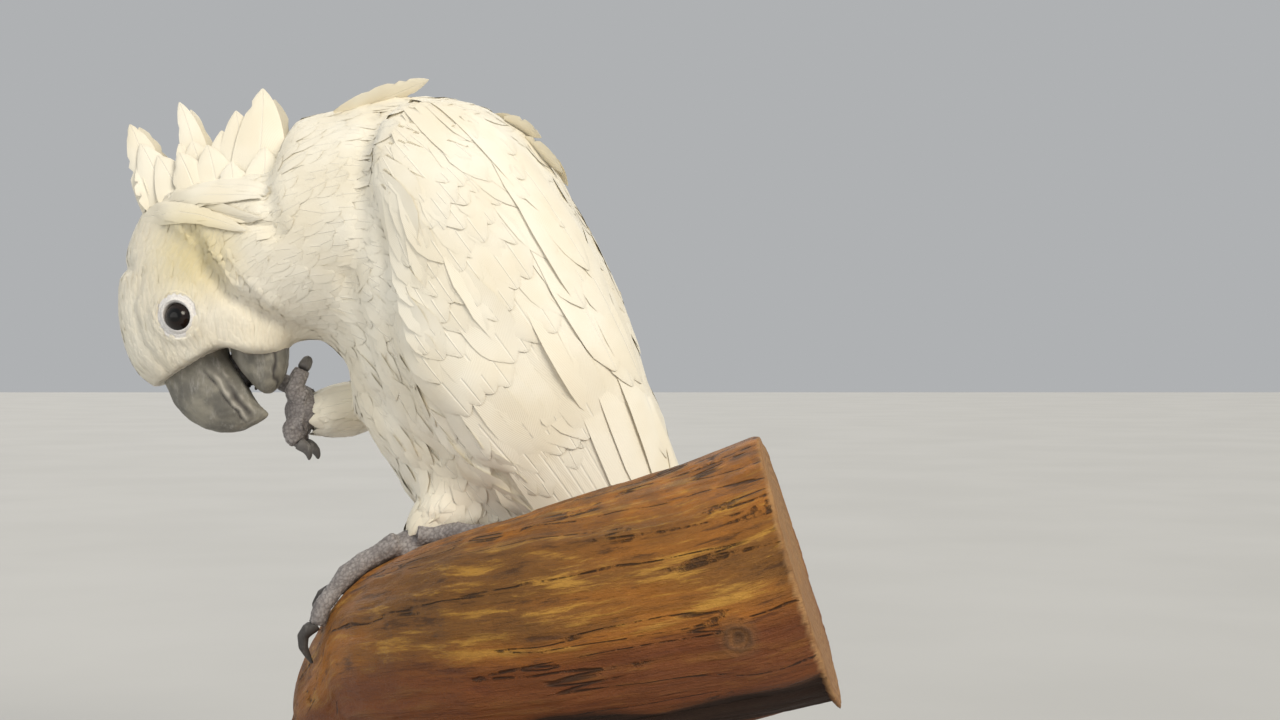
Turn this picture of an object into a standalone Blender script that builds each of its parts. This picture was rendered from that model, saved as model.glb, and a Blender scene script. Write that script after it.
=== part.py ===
"""A life-size white (umbrella) cockatoo that grips a cut length of branch on a plain display stand.

The bird faces -X and its left side is towards -Y. It bows its head, half raises its crest and
lifts its right foot to its bill, while the left foot holds the branch. Places in the bird's own
frame are millimetres, with z = 0 at the tip of the lowest claw of the left foot.
"""

import math

import bmesh
import bpy
from mathutils import Matrix, Vector
from mathutils.bvhtree import BVHTree

MM = 0.001
GAP = 0.3 * MM  # the thin cut between neighbouring solids
LEFT, RIGHT = -1, 1  # which side of the bird, as the sign of y

# Driving sizes, in millimetres.
BODY_SEGMENTS = 28
EYE_RADIUS = 6.4
EYE_SHOWN_RADIUS = 5.3
WING_THICKNESS = 6.5
FLIGHT_THICKNESS = 3.4
WING_EDGE = 1.2
WING_LIFT = 0.85  # off the trunk, so that the chords of the two never meet
TAIL_LENGTH = 112.0
TAIL_BASE_HALF_WIDTH = 12.5
TAIL_TIP_HALF_WIDTH = 29.0
TAIL_THICKNESS = 2.6
RECTRICES = 12
TOE_RADIUS = 4.0
CLAW_RADIUS = 2.3
CLAW_LENGTH = 14.0
ROD_RADIUS = 5.0
BASE_SIZE = (180.0, 170.0, 12.0)
BASE_DROP = 112.0  # from the bird's z = 0 down to the underside of the base

# Each row of a form is a section: the point on its back, the point on its front (x and z of
# both) and its half width. The head hangs, so its back is the crown and its front the throat.
HEAD = [
    (-119, 101, -72, 114, 17),  # trimmed off by the bill's wedge
    (-133, 112, -73, 119, 20.5),
    (-139.5, 128, -74, 122.5, 23.5),
    (-141, 146, -73, 124, 25),
    (-138, 165, -71, 125, 25.5),
    (-129, 183, -68, 125.5, 25),
]
TORSO = [
    (-129, 183, -67, 125.5, 27.5),  # crease behind the cheek
    (-114, 198, -64, 126, 30),
    (-93, 209, -61, 126, 31.5),
    (-68, 217, -57.5, 125.5, 33.5),
    (-40, 223, -53.5, 123, 36.5),
    (-8, 226, -49.5, 114, 41),  # shoulders
    (22, 211, -46, 98, 44.5),
    (44, 182, -38, 82, 46),
    (62, 146, -26, 63, 45),
    (74.5, 110, -11, 47, 41.5),
    (83.5, 76, 14, 36, 36),
    (89, 48, 41, 22, 29),
    (93, 22, 65, 6, 21),  # rump
]
SHOULDER_ROW = 5
RUMP_ROW = 12
# Past the rump the folded wings run on alone, along the tail.
WING_TIP = [
    (100, -5, 74, -18, 24.5),
    (107, -31, 88, -40, 22),
    (113.5, -56, 109, -60, 15),
]
TRUNK = TORSO + WING_TIP
# Angles from the back's midline, in degrees, between which each wing lies, one pair per row
# from the shoulder on.
WING_ARC = [
    (34, 86), (31, 110), (31, 118), (30, 116), (27, 111), (21, 105),
    (15, 106), (11, 104), (9, 99), (9, 92), (12, 70),
]  # fmt: skip
WING_START = 4.35  # the bend of the wing, a little ahead of the shoulder row
COVERT_END = 8.7
SECONDARY_END = 11.7
WING_END = 15.0

UPPER_BILL = [
    (-120.5, 106.8, -97.6, 121.2, 10.6),
    (-118.5, 101.5, -94.6, 117.5, 10.8),
    (-113.5, 95.3, -91.6, 112.5, 10.2),
    (-106, 90.8, -89, 107.8, 8.8),
    (-97, 89.0, -87, 103.4, 6.6),
    (-88.5, 90.8, -84.2, 99.8, 4.2),
    (-81.4, 95.2, -80.6, 96.6, 1.0),
]
LOWER_BILL = [
    (-96.0, 121.0, -72.5, 120.8, 9.4),
    (-92.4, 115.6, -73.2, 114.4, 9.2),
    (-88.0, 110.2, -75.6, 109.0, 8.0),
    (-84.6, 106.8, -78.6, 105.6, 6.2),
    (-82.4, 105.4, -80.8, 104.6, 4.4),
]

COLOURS = {
    "plumage": ((0.86, 0.82, 0.72), 0.8),
    "bill_horn": ((0.18, 0.17, 0.17), 0.55),
    "eye": ((0.02, 0.015, 0.015), 0.1),
    "foot_skin": ((0.30, 0.28, 0.29), 0.7),
    "claw_horn": ((0.06, 0.05, 0.05), 0.4),
    "branch_wood": ((0.36, 0.20, 0.08), 0.8),
    "stand_wood": ((0.05, 0.035, 0.025), 0.45),
    "stand_steel": ((0.45, 0.45, 0.46), 0.35),
}


def clear_scene():
    for old in list(bpy.data.objects):
        bpy.data.objects.remove(old)


def material(name):
    found = bpy.data.materials.get(name)
    if found:
        return found
    colour, roughness = COLOURS[name]
    made = bpy.data.materials.new(name)
    made.use_nodes = True
    shader = made.node_tree.nodes["Principled BSDF"]
    shader.inputs["Base Color"].default_value = (*colour, 1)
    shader.inputs["Roughness"].default_value = roughness
    return made


def link(obj, finish, smooth=True):
    """Puts a finished object in the cockatoo's collection, under its empty."""
    obj.data.materials.append(material(finish))
    PARTS.objects.link(obj)
    obj.parent = HOLDER
    if smooth:
        obj.data.shade_smooth()
    return obj


def object_from(bm, name, finish):
    bmesh.ops.recalc_face_normals(bm, faces=bm.faces)
    mesh = bpy.data.meshes.new(name)
    bm.to_mesh(mesh)
    bm.free()
    return link(bpy.data.objects.new(name, mesh), finish)


def cutter_from(bm, name):
    bmesh.ops.recalc_face_normals(bm, faces=bm.faces)
    mesh = bpy.data.meshes.new(name)
    bm.to_mesh(mesh)
    bm.free()
    obj = bpy.data.objects.new(name, mesh)
    CUTTERS.objects.link(obj)
    obj.parent = HOLDER
    obj.hide_render = True
    obj.display_type = "WIRE"
    return obj


def cut(obj, cutter):
    modifier = obj.modifiers.new("cut_" + cutter.name, "BOOLEAN")
    modifier.operation = "DIFFERENCE"
    modifier.object = cutter


def smooth_between(a, b, c, d, f):
    """The value at f between b and c, on a smooth curve through all four."""
    return b + 0.5 * f * (
        c - a + f * (2 * a - 5 * b + 4 * c - d + f * (3 * (b - c) + d - a))
    )


def row_at(rows, s):
    """The row at s, a place between whole rows."""
    last = len(rows) - 1
    i = min(max(int(s), 0), last - 1)
    near = [rows[min(max(i + k, 0), last)] for k in (-1, 0, 1, 2)]
    return [smooth_between(*four, s - i) for four in zip(*near)]


def section_point(row, angle, grow=0.0, egg=0.0, fullness=1.0):
    """A point on a section, at an angle from its back towards the bird's left side."""
    back_x, back_z, front_x, front_z, half_width = row
    half = Vector((back_x - front_x, 0, back_z - front_z)) / 2
    centre = Vector((back_x + front_x, 0, back_z + front_z)) / 2
    c = math.copysign(abs(math.cos(angle)) ** fullness, math.cos(angle))
    s = math.copysign(abs(math.sin(angle)) ** fullness, math.sin(angle))
    point = centre + half * c * (1 + grow / max(half.length, 1e-6))
    point.y = LEFT * (half_width + grow) * s * (1 + egg * c)
    return point * MM


def section_normal(row):
    """Across the section, towards the next row along the body."""
    back_x, back_z, front_x, front_z, _ = row
    along = Vector((back_x - front_x, 0, back_z - front_z)).normalized()
    return Vector((along.z, 0, -along.x))


def loft(bm, rings):
    """Joins rings of equal length into one closed skin, with a flat cap at each end."""
    made = [[bm.verts.new(point) for point in ring] for ring in rings]
    count = len(rings[0])
    for first, second in zip(made, made[1:]):
        for k in range(count):
            after = (k + 1) % count
            bm.faces.new((first[k], first[after], second[after], second[k]))
    bm.faces.new(made[0])
    bm.faces.new(reversed(made[-1]))
    return bm


def form(rows, start, end, steps, segments, start_shift=0.0, end_shift=0.0, **shape):
    """A closed loft through rows, from place start to place end, each end moved along."""
    bm = bmesh.new()
    rings = []
    for step in range(steps + 1):
        row = row_at(rows, start + (end - start) * step / steps)
        turns = (math.tau * k / segments for k in range(segments))
        ring = [section_point(row, turn, **shape) for turn in turns]
        shift = start_shift * (step == 0) + end_shift * (step == steps)
        rings.append([point + section_normal(row) * shift for point in ring])
    return loft(bm, rings)


def tube(bm, points, radii, segments=8):
    """A closed tube of round sections along points, its rings kept from twisting."""
    rings = []
    side = Vector((0, 1, 0))
    for k, (point, radius) in enumerate(zip(points, radii)):
        ahead = points[min(k + 1, len(points) - 1)] - points[max(k - 1, 0)]
        ahead.normalize()
        side = (side - ahead * side.dot(ahead)).normalized()
        up = ahead.cross(side)
        turns = (math.tau * j / segments for j in range(segments))
        rings.append(
            [point + radius * (side * math.cos(t) + up * math.sin(t)) for t in turns]
        )
    return loft(bm, rings)


def bent_line(points, count):
    """count points spread along a smooth curve through a few."""
    rows = [tuple(point) for point in points]
    last = len(rows) - 1
    return [Vector(row_at(rows, last * k / (count - 1))) for k in range(count)]


# The body: head, neck and trunk, parted by thin cuts.


def bill_wedge():
    """Trims the face to the two planes that the upper and the lower bill stand on."""
    outline = [(-150, 91.5), (-97, 122.3), (-40, 122.3), (-40, 60), (-150, 60)]
    bm = bmesh.new()
    rings = [[Vector((x, y, z)) * MM for x, z in outline] for y in (-60, 60)]
    return cutter_from(loft(bm, rings), "bill_wedge")


def eye_centre(side):
    surface = section_point(row_at(HEAD, 2.87), math.radians(85), egg=-0.08)
    inward = math.sqrt(EYE_RADIUS**2 - EYE_SHOWN_RADIUS**2) * MM
    return Vector((surface.x, side * (abs(surface.y) - inward), surface.z))


def ball(bm, centre, radius):
    bmesh.ops.create_uvsphere(
        bm,
        u_segments=14,
        v_segments=9,
        radius=radius * MM,
        matrix=Matrix.Translation(centre) @ Matrix.Rotation(math.pi / 2, 4, "X"),
    )
    return bm


def make_body():
    head = object_from(
        form(HEAD, 0, 5, 12, BODY_SEGMENTS, end_shift=-GAP / 2, egg=-0.08),
        "head",
        "plumage",
    )
    cut(head, bill_wedge())
    for side, name in ((LEFT, "left"), (RIGHT, "right")):
        socket = ball(bmesh.new(), eye_centre(side), EYE_RADIUS + GAP / MM)
        cut(head, cutter_from(socket, "socket_" + name))
        object_from(ball(bmesh.new(), eye_centre(side), EYE_RADIUS), "eye_" + name, "eye")
    object_from(
        form(TRUNK, 0, SHOULDER_ROW, 8, BODY_SEGMENTS, GAP / 2, -GAP / 2),
        "neck",
        "plumage",
    )
    return object_from(
        form(TRUNK, SHOULDER_ROW, RUMP_ROW, 13, BODY_SEGMENTS, GAP / 2, fullness=0.92),
        "trunk",
        "plumage",
    )


def make_bill():
    object_from(
        form(UPPER_BILL, 0, 6, 10, 16, egg=-0.12, fullness=0.85), "upper_bill", "bill_horn"
    )
    object_from(form(LOWER_BILL, 0, 4, 6, 14, fullness=0.85), "lower_bill", "bill_horn")


# Feathers that reach past the body: crest, wings and tail.


def vane(bm, root, tip, half_width, bow, thickness=1.1, across=Vector((0, 1, 0))):
    """One broad feather: a leaf from root to tip, bowed by a share of its length."""
    steps, lanes = 6, 4
    along = tip - root
    across = (across - along * across.dot(along) / along.length_squared).normalized()
    out = along.normalized().cross(across)
    lower, upper = [], []
    for i in range(steps + 1):
        f = i / steps
        wide = half_width * MM * max(math.sin(math.pi * min(f * 0.82 + 0.1, 1)), 0.12) ** 0.7
        middle = root + along * f + out * (bow * along.length * math.sin(math.pi * f))
        for j in range(lanes + 1):
            lane = 2 * j / lanes - 1
            back = along.normalized() * (-abs(lane) ** 2 * wide * 0.35 * f)
            place = middle + across * (lane * wide) + back - out * (wide * 0.22 * lane**2)
            thick = thickness * MM * (1 - 0.5 * abs(lane)) / 2
            upper.append(bm.verts.new(place + out * thick))
            lower.append(bm.verts.new(place - out * thick))
    stride = lanes + 1
    for i in range(steps):
        for j in range(lanes):
            a, b = i * stride + j, i * stride + j + 1
            c, d = b + stride, a + stride
            bm.faces.new((upper[a], upper[b], upper[c], upper[d]))
            bm.faces.new((lower[d], lower[c], lower[b], lower[a]))
    rim = [j for j in range(stride)]
    rim += [i * stride + lanes for i in range(1, steps + 1)]
    rim += [steps * stride + j for j in range(lanes - 1, -1, -1)]
    rim += [i * stride for i in range(steps - 1, 0, -1)]
    for a, b in zip(rim, rim[1:] + rim[:1]):
        bm.faces.new((upper[b], upper[a], lower[a], lower[b]))
    return bm


CREST = [
    # root, tip, half width and twist (0 shows its edge from the side, 90 its face)
    ((-140, 0, 156), (-139, 0, 203), 7.5, 8),
    ((-134, -6, 168), (-129.5, -10, 206), 7.5, 20),
    ((-131, 8, 172), (-123, 12, 210), 7.5, -20),
    ((-125.5, -1, 181), (-113, -1, 223), 7.5, 12),
    ((-115.5, -10, 185), (-96, -16, 211), 9, 62),
    ((-114, 11, 186), (-91, 16, 219), 9, -55),
    ((-106, -2, 190), (-81.5, -2, 226), 10.5, 80),
]


def make_crest():
    """Half-raised feathers of the crown; each starts just clear of the head's solid."""
    room = form(HEAD, 0, 5, 12, BODY_SEGMENTS, end_shift=GAP, grow=GAP / MM, egg=-0.08)
    room = cutter_from(room, "head_room")
    neck_room = form(TRUNK, 0, SHOULDER_ROW, 8, BODY_SEGMENTS, -GAP, grow=GAP / MM)
    neck_room = cutter_from(neck_room, "neck_room")
    for number, (root, tip, half_width, twist) in enumerate(CREST, 1):
        root, tip = Vector(root) * MM, Vector(tip) * MM
        turn = Matrix.Rotation(math.radians(twist), 3, (tip - root).normalized())
        across = turn @ Vector((0, 1, 0))
        bm = vane(bmesh.new(), root, tip, half_width, -0.06, across=across)
        feather = object_from(bm, f"crest_{number}", "plumage")
        cut(feather, room)
        cut(feather, neck_room)


def wing_point(s, share, depth):
    """A point on a folded left wing: along s, across from its upper to its lower edge."""
    row = row_at(TRUNK, s)
    upper, lower = row_at(WING_ARC, s - SHOULDER_ROW) if s > SHOULDER_ROW else WING_ARC[0]
    angle = math.radians(upper + (lower - upper) * share)
    return section_point(row, angle, grow=depth, fullness=0.92)


def wing_part(name, start, end, steps, thickness, side, round_start=0.0, round_end=0.0):
    """A stretch of the folded wing between two places, as a curved closed plate."""
    lanes = 8
    bm = bmesh.new()
    inner, outer = [], []
    for i in range(steps + 1):
        for j in range(lanes + 1):
            share = j / lanes
            bow = 1 - math.sqrt(max(1 - (2 * share - 1) ** 2, 0.02))
            first, last = start + round_start * bow, end - round_end * bow
            s = first + (last - first) * i / steps
            inside = math.sqrt(max(1 - (2 * share - 1) ** 4, 0))
            inside *= math.sqrt(min(1, 0.15 + 4 * i / steps)) if round_start else 1
            thick = WING_EDGE + (thickness - WING_EDGE) * inside
            inner.append(bm.verts.new(wing_point(s, share, WING_LIFT)))
            outer.append(bm.verts.new(wing_point(s, share, WING_LIFT + thick)))
    stride = lanes + 1
    for i in range(steps):
        for j in range(lanes):
            a, b = i * stride + j, i * stride + j + 1
            c, d = b + stride, a + stride
            bm.faces.new((outer[a], outer[b], outer[c], outer[d]))
            bm.faces.new((inner[d], inner[c], inner[b], inner[a]))
    rim = [j for j in range(stride)]
    rim += [i * stride + lanes for i in range(1, steps + 1)]
    rim += [steps * stride + j for j in range(lanes - 1, -1, -1)]
    rim += [i * stride for i in range(steps - 1, 0, -1)]
    for a, b in zip(rim, rim[1:] + rim[:1]):
        bm.faces.new((outer[b], outer[a], inner[a], inner[b]))
    if side == RIGHT:
        bmesh.ops.scale(bm, vec=(1, -1, 1), verts=bm.verts)
    return object_from(bm, name, "plumage")


def make_wings():
    cut_share = 0.01
    for side, name in ((LEFT, "left"), (RIGHT, "right")):
        wing_part(
            f"wing_{name}_coverts", WING_START, COVERT_END, 9, WING_THICKNESS, side, 0.5
        )
        wing_part(
            f"wing_{name}_secondaries",
            COVERT_END + cut_share,
            SECONDARY_END,
            6,
            FLIGHT_THICKNESS + 1,
            side,
        )
        wing_part(
            f"wing_{name}_primaries",
            SECONDARY_END + cut_share,
            WING_END,
            6,
            FLIGHT_THICKNESS,
            side,
            round_end=0.6,
        )


def make_tail():
    """The closed tail: a fan of overlapping feathers in one plate, arched across."""
    row = TORSO[RUMP_ROW]
    base = (Vector((row[0] + row[2], 0, row[1] + row[3])) / 2 + Vector((1.5, 0, -1.0))) * MM
    direction = Vector((0.40, 0, -0.917)).normalized()
    upward = Vector((0.917, 0, 0.40)).normalized()
    steps, lanes = 5, RECTRICES * 2
    bm = bmesh.new()
    lower, upper = [], []
    for i in range(steps + 1):
        f = i / steps
        wide = TAIL_BASE_HALF_WIDTH + (TAIL_TIP_HALF_WIDTH - TAIL_BASE_HALF_WIDTH) * f**1.6
        for j in range(lanes + 1):
            lane = 2 * j / lanes - 1
            tip_cut = 5.0 * lane**2 + 2.2 * (j % 2 == 0)
            reach = TAIL_LENGTH * f - tip_cut * f**4
            arch = -0.16 * wide * lane**2 + 0.5 * (j % 2)
            place = base + (direction * reach + upward * arch) * MM
            place.y += lane * wide * MM
            thick = TAIL_THICKNESS * MM * (1 - 0.45 * f) / 2
            upper.append(bm.verts.new(place + upward * thick))
            lower.append(bm.verts.new(place - upward * thick))
    stride = lanes + 1
    for i in range(steps):
        for j in range(lanes):
            a, b = i * stride + j, i * stride + j + 1
            c, d = b + stride, a + stride
            bm.faces.new((upper[a], upper[b], upper[c], upper[d]))
            bm.faces.new((lower[d], lower[c], lower[b], lower[a]))
    rim = [j for j in range(stride)]
    rim += [i * stride + lanes for i in range(1, steps + 1)]
    rim += [steps * stride + j for j in range(lanes - 1, -1, -1)]
    rim += [i * stride for i in range(steps - 1, 0, -1)]
    for a, b in zip(rim, rim[1:] + rim[:1]):
        bm.faces.new((upper[b], upper[a], lower[a], lower[b]))
    object_from(bm, "tail", "plumage")


# The perch and its stand.

BRANCH = [
    # middle line of the branch, from its worn end under the foot, and its radius
    (-64, 16, -35, 14),
    (-50, 6, -25, 26),
    (-33, -12, -11, 35),
    (-15, -30, 2.5, 41),
    (6, -62, 13, 43),
    (38, -94, 23, 44),
    (80, -112, 35, 45),
    (122, -118, 48, 47),
]


def branch_ring(s, segments):
    """A section of the branch: knobbly as old wood, with a worn flank under the toes."""
    *centre, taper = row_at(BRANCH, s)
    ahead = Vector(row_at(BRANCH, min(s + 0.2, 7))[:3]) - Vector(row_at(BRANCH, s - 0.2)[:3])
    ahead.normalize()
    across = ahead.cross(Vector((0, 0, 1))).normalized()
    upward = across.cross(ahead)
    worn = 0.22 * math.exp(-(((s - 3.1) / 1.1) ** 2))
    ring = []
    for k in range(segments):
        turn = math.tau * k / segments
        lumps = 1 + 0.022 * math.sin(3 * turn + s) + 0.018 * math.sin(5 * turn - 0.8 * s)
        lumps += 0.07 * math.exp(-((s - 5.2) ** 2) / 0.3) * max(math.cos(turn - 1.0), 0) ** 6
        lumps -= worn * math.exp(-(((turn - math.tau + 0.85) / 0.5) ** 2))
        radius = taper * lumps
        around = across * (radius * math.sin(turn)) + upward * (radius * math.cos(turn))
        ring.append(Vector(centre) + around)
    return [point * MM for point in ring]


def make_branch():
    steps, segments = 13, 22
    rings = [branch_ring((len(BRANCH) - 1) * k / steps, segments) for k in range(steps + 1)]
    bm = loft(bmesh.new(), rings)
    bmesh.ops.recalc_face_normals(bm, faces=bm.faces)
    surface = BVHTree.FromBMesh(bm)
    return object_from(bm, "perch_branch", "branch_wood"), surface


def cylinder(bm, foot, radius, height):
    bmesh.ops.create_cone(
        bm,
        cap_ends=True,
        segments=20,
        radius1=radius * MM,
        radius2=radius * MM,
        depth=height * MM,
        matrix=Matrix.Translation((foot + Vector((0, 0, height / 2))) * MM),
    )
    return bm


def make_stand(branch, centre):
    for number, s in enumerate((2.6, 5.4), 1):
        x, y, z, radius = row_at(BRANCH, s)
        foot = Vector((x, y, -BASE_DROP + BASE_SIZE[2]))
        height = z - foot.z - radius + 12
        socket = cylinder(bmesh.new(), foot, ROD_RADIUS + GAP / MM, height + GAP / MM)
        cut(branch, cutter_from(socket, f"rod_socket_{number}"))
        lift = Vector((0, 0, GAP / MM))
        object_from(
            cylinder(bmesh.new(), foot + lift, ROD_RADIUS, height - GAP / MM),
            f"stand_rod_{number}",
            "stand_steel",
        )
    bm = bmesh.new()
    bmesh.ops.create_cube(bm, size=1)
    bmesh.ops.scale(bm, vec=Vector(BASE_SIZE) * MM, verts=bm.verts)
    middle = Vector((centre.x, centre.y, -BASE_DROP + BASE_SIZE[2] / 2))
    bmesh.ops.translate(bm, vec=middle * MM, verts=bm.verts)
    upright = [e for e in bm.edges if abs(e.verts[0].co.z - e.verts[1].co.z) > MM]
    bmesh.ops.bevel(bm, geom=upright, offset=18 * MM, segments=5, profile=0.5, affect="EDGES")
    object_from(bm, "stand_base", "stand_wood")


# Legs, toes and claws. A cockatoo has two toes ahead and two behind on each foot.

STANDING_TOES = {
    # name: (start along the body, start across it, heading across, length)
    "inner_front": (-4.5, 4.8, 0.16, 30),
    "outer_front": (-4.5, -4.8, -0.12, 41),
    "inner_back": (4.5, 4.8, 0.20, 19),
    "outer_back": (4.5, -4.8, -0.30, 30),
}
RAISED_TOES = {
    # name: middle line of the toe, then of its claw
    "inner_front": (
        [(-67, 4.2, 102.2), (-70.2, 3.2, 104), (-70.2, 2.6, 108), (-67.6, 3, 114)],
        [(-67.2, 3.3, 114.8), (-66.2, 5.4, 117.3), (-66.6, 8.6, 118), (-68.4, 11.4, 116.4)],
    ),
    "outer_front": (
        [(-67, 13.2, 102), (-71, 14.2, 104.5), (-75, 14.6, 107.6), (-79.4, 14, 110)],
        [(-80.2, 13.8, 110.3), (-83.4, 12.8, 110.8), (-86.6, 12.2, 109.2), (-88.4, 12.4, 106)],
    ),
    "inner_back": (
        [(-67.4, 4, 92.8), (-71, 3.6, 91.4), (-72.2, 3.6, 88.8), (-69.8, 4, 85.2)],
        [(-69.2, 4, 84.5), (-66.8, 4.2, 82.9), (-65.2, 4.4, 80.6), (-65.2, 4.5, 78)],
    ),
    "outer_back": (
        [(-67.4, 13.2, 92.8), (-71.6, 13, 91), (-72.4, 13.4, 87.6), (-69, 13.6, 84.2)],
        [(-68.2, 13.6, 83.7), (-65.6, 13.4, 82.5), (-63.6, 13.2, 80.4), (-63, 13, 77.8)],
    ),
}
PALM = Vector((-19, -27, 46))
LEGS = {
    # name: middle line of the feathered leg, its radii, the bare shank's end and the palm
    "left": (
        [(4, -18, 72), (-4, -22, 64.5), (-10, -24.5, 58), (-14, -26, 53)],
        (19, 15, 10.5, 7.6),
        [(-17, -26.6, 50.6), (-19, -27, 48.3)],
        (5.4, 5.4, 4.4),
    ),
    "right": (
        [(-30, 17, 107), (-44, 16.5, 100.5), (-54, 13, 97.6), (-61, 10, 97.2)],
        (12, 11.5, 8.8, 7.4),
        [(-65, 8.4, 97.2), (-68, 8.2, 97.2)],
        (5.0, 5.4, 4.6),
    ),
}


def toe_radii(steps):
    """Thinner towards the tip, with a pad under each joint."""
    return [
        TOE_RADIUS * (1.06 - 0.34 * k / steps + 0.09 * math.cos(math.tau * k / 2.7)) * MM
        for k in range(steps + 1)
    ]


def claw_radii():
    return [CLAW_RADIUS * share * MM for share in (1.0, 1.0, 0.86, 0.66, 0.42, 0.14)]


def walk(surface, start, heading, length, lift):
    """Points that follow the branch's surface from start, each held off it by its lift."""
    points, here, ahead = [], start.copy(), heading.normalized()
    for rise in lift:
        place, normal, _, _ = surface.find_nearest(here)
        points.append(place + normal * rise)
        ahead = (ahead - normal * ahead.dot(normal)).normalized()
        here = place + ahead * (length / (len(lift) - 1))
    return points, ahead


def standing_toe(surface, forward, across, aim, length):
    """A toe of the left foot and its claw, pressed to the branch."""
    radii = toe_radii(6)
    start = (PALM + Vector((forward, across, 0))) * MM
    heading = Vector((math.copysign(1, forward), aim, 0))
    lift = [radius + 2 * GAP for radius in radii]
    toe, ahead = walk(surface, start, heading, length * MM, lift)
    arch = [CLAW_RADIUS * share * MM for share in (1.6, 2.5, 2.9, 2.5, 1.6, 0.6)]
    claw, _ = walk(surface, toe[-1], ahead, CLAW_LENGTH * MM, arch)
    return toe, claw


def raised_toe(toe, claw):
    toe = bent_line([Vector(point) * MM for point in toe], 7)
    return toe, bent_line([Vector(point) * MM for point in claw], 6)


def make_foot(name, toes):
    """Toes and claws of one foot; gives the cutters that make room for them in the palm."""
    cutters = []
    for toe_name, (toe, claw) in toes.items():
        radii = toe_radii(6)
        object_from(tube(bmesh.new(), toe, radii), f"toe_{name}_{toe_name}", "foot_skin")
        made = tube(bmesh.new(), claw, claw_radii())
        made = object_from(made, f"claw_{name}_{toe_name}", "claw_horn")
        longer = [toe[0] + (toe[0] - toe[1]).normalized() * GAP] + toe
        longer.append(toe[-1] + (toe[-1] - toe[-2]).normalized() * GAP)
        room = tube(bmesh.new(), longer, [r + GAP for r in radii[:1] + radii + radii[-1:]])
        cutters.append(cutter_from(room, f"room_{name}_{toe_name}"))
        cut(made, cutters[-1])
    return cutters


def make_leg(name, trunk_room, toe_rooms):
    points, radii, shank, shank_radii = LEGS[name]
    points = [Vector(point) * MM for point in points]
    line = bent_line(points, 8)
    wide = [row_at([(radius * MM,) for radius in radii], 3 * k / 7)[0] for k in range(8)]
    leg = object_from(tube(bmesh.new(), line, wide, 14), f"leg_{name}", "plumage")
    for room in [trunk_room] + toe_rooms:
        cut(leg, room)
    end = line[-4:] + [line[-1] + (line[-1] - line[-2]).normalized() * GAP]
    room = tube(bmesh.new(), end, [radius + GAP for radius in wide[-4:] + wide[-1:]], 14)
    toe_rooms = [cutter_from(room, f"leg_room_{name}")] + toe_rooms
    line = [line[-2]] + [Vector(point) * MM for point in shank]
    wide = [radius * MM for radius in shank_radii]
    shank = object_from(tube(bmesh.new(), line, wide, 12), f"shank_{name}", "foot_skin")
    for room in toe_rooms:
        cut(shank, room)


def make_legs(surface, trunk):
    room = form(TRUNK, SHOULDER_ROW, RUMP_ROW, 13, BODY_SEGMENTS, grow=GAP / MM, fullness=0.92)
    trunk_room = cutter_from(room, "trunk_room")
    standing = {
        name: standing_toe(surface, *sizes) for name, sizes in STANDING_TOES.items()
    }
    rooms = make_foot("left", standing)
    make_leg("left", trunk_room, rooms)
    for room in rooms:
        cut(trunk, room)
    raised = {name: raised_toe(*lines) for name, lines in RAISED_TOES.items()}
    make_leg("right", trunk_room, make_foot("right", raised))


def settle():
    """Moves the whole model so that its box stands centred on the origin."""
    corners = [v.co for o in PARTS.objects if o.type == "MESH" for v in o.data.vertices]
    low = Vector([min(c[k] for c in corners) for k in range(3)])
    high = Vector([max(c[k] for c in corners) for k in range(3)])
    shift = Matrix.Translation((-(low.x + high.x) / 2, -(low.y + high.y) / 2, -low.z))
    for obj in list(PARTS.objects) + list(CUTTERS.objects):
        if obj.type == "MESH":
            obj.data.transform(shift)


def main():
    trunk = make_body()
    make_bill()
    make_crest()
    make_wings()
    make_tail()
    branch, surface = make_branch()
    make_legs(surface, trunk)
    make_stand(branch, Vector((20, -56, 0)))
    settle()


clear_scene()
PARTS = bpy.data.collections.new("cockatoo")
CUTTERS = bpy.data.collections.new("cutters")
bpy.context.scene.collection.children.link(PARTS)
bpy.context.scene.collection.children.link(CUTTERS)
HOLDER = bpy.data.objects.new("cockatoo_holder", None)
PARTS.objects.link(HOLDER)
main()
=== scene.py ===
# %% [markdown]
# A white cockatoo, life size, as a museum shows it: the bird grips a short cut branch on a rod
# stand, bows its head and lifts one foot to its bill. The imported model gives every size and
# place. Each step below dresses a part of it: skin, then thousands of small feathers that are
# real thin vanes, then wing, tail and crest feathers, and last horn, eyes, feet and wood.

import math
from itertools import pairwise, product

import bmesh
import bpy
import numpy as np
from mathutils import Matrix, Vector, noise
from mathutils.bvhtree import BVHTree


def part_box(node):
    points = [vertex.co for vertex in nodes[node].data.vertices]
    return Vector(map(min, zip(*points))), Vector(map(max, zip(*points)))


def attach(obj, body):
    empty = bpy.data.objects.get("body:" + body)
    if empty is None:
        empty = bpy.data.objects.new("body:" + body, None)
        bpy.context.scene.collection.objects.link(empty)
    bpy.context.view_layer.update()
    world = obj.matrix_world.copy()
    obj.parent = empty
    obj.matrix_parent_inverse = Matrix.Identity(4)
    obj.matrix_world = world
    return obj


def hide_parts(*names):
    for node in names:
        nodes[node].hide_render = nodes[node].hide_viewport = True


MM = 0.001
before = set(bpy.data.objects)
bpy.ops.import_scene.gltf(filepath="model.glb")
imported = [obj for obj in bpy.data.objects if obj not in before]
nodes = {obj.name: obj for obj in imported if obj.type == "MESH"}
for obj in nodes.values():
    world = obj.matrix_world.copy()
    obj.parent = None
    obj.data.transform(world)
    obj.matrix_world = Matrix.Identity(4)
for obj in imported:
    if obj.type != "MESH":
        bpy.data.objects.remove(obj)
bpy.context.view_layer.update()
print("frame of", len(nodes), "nodes")

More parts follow.
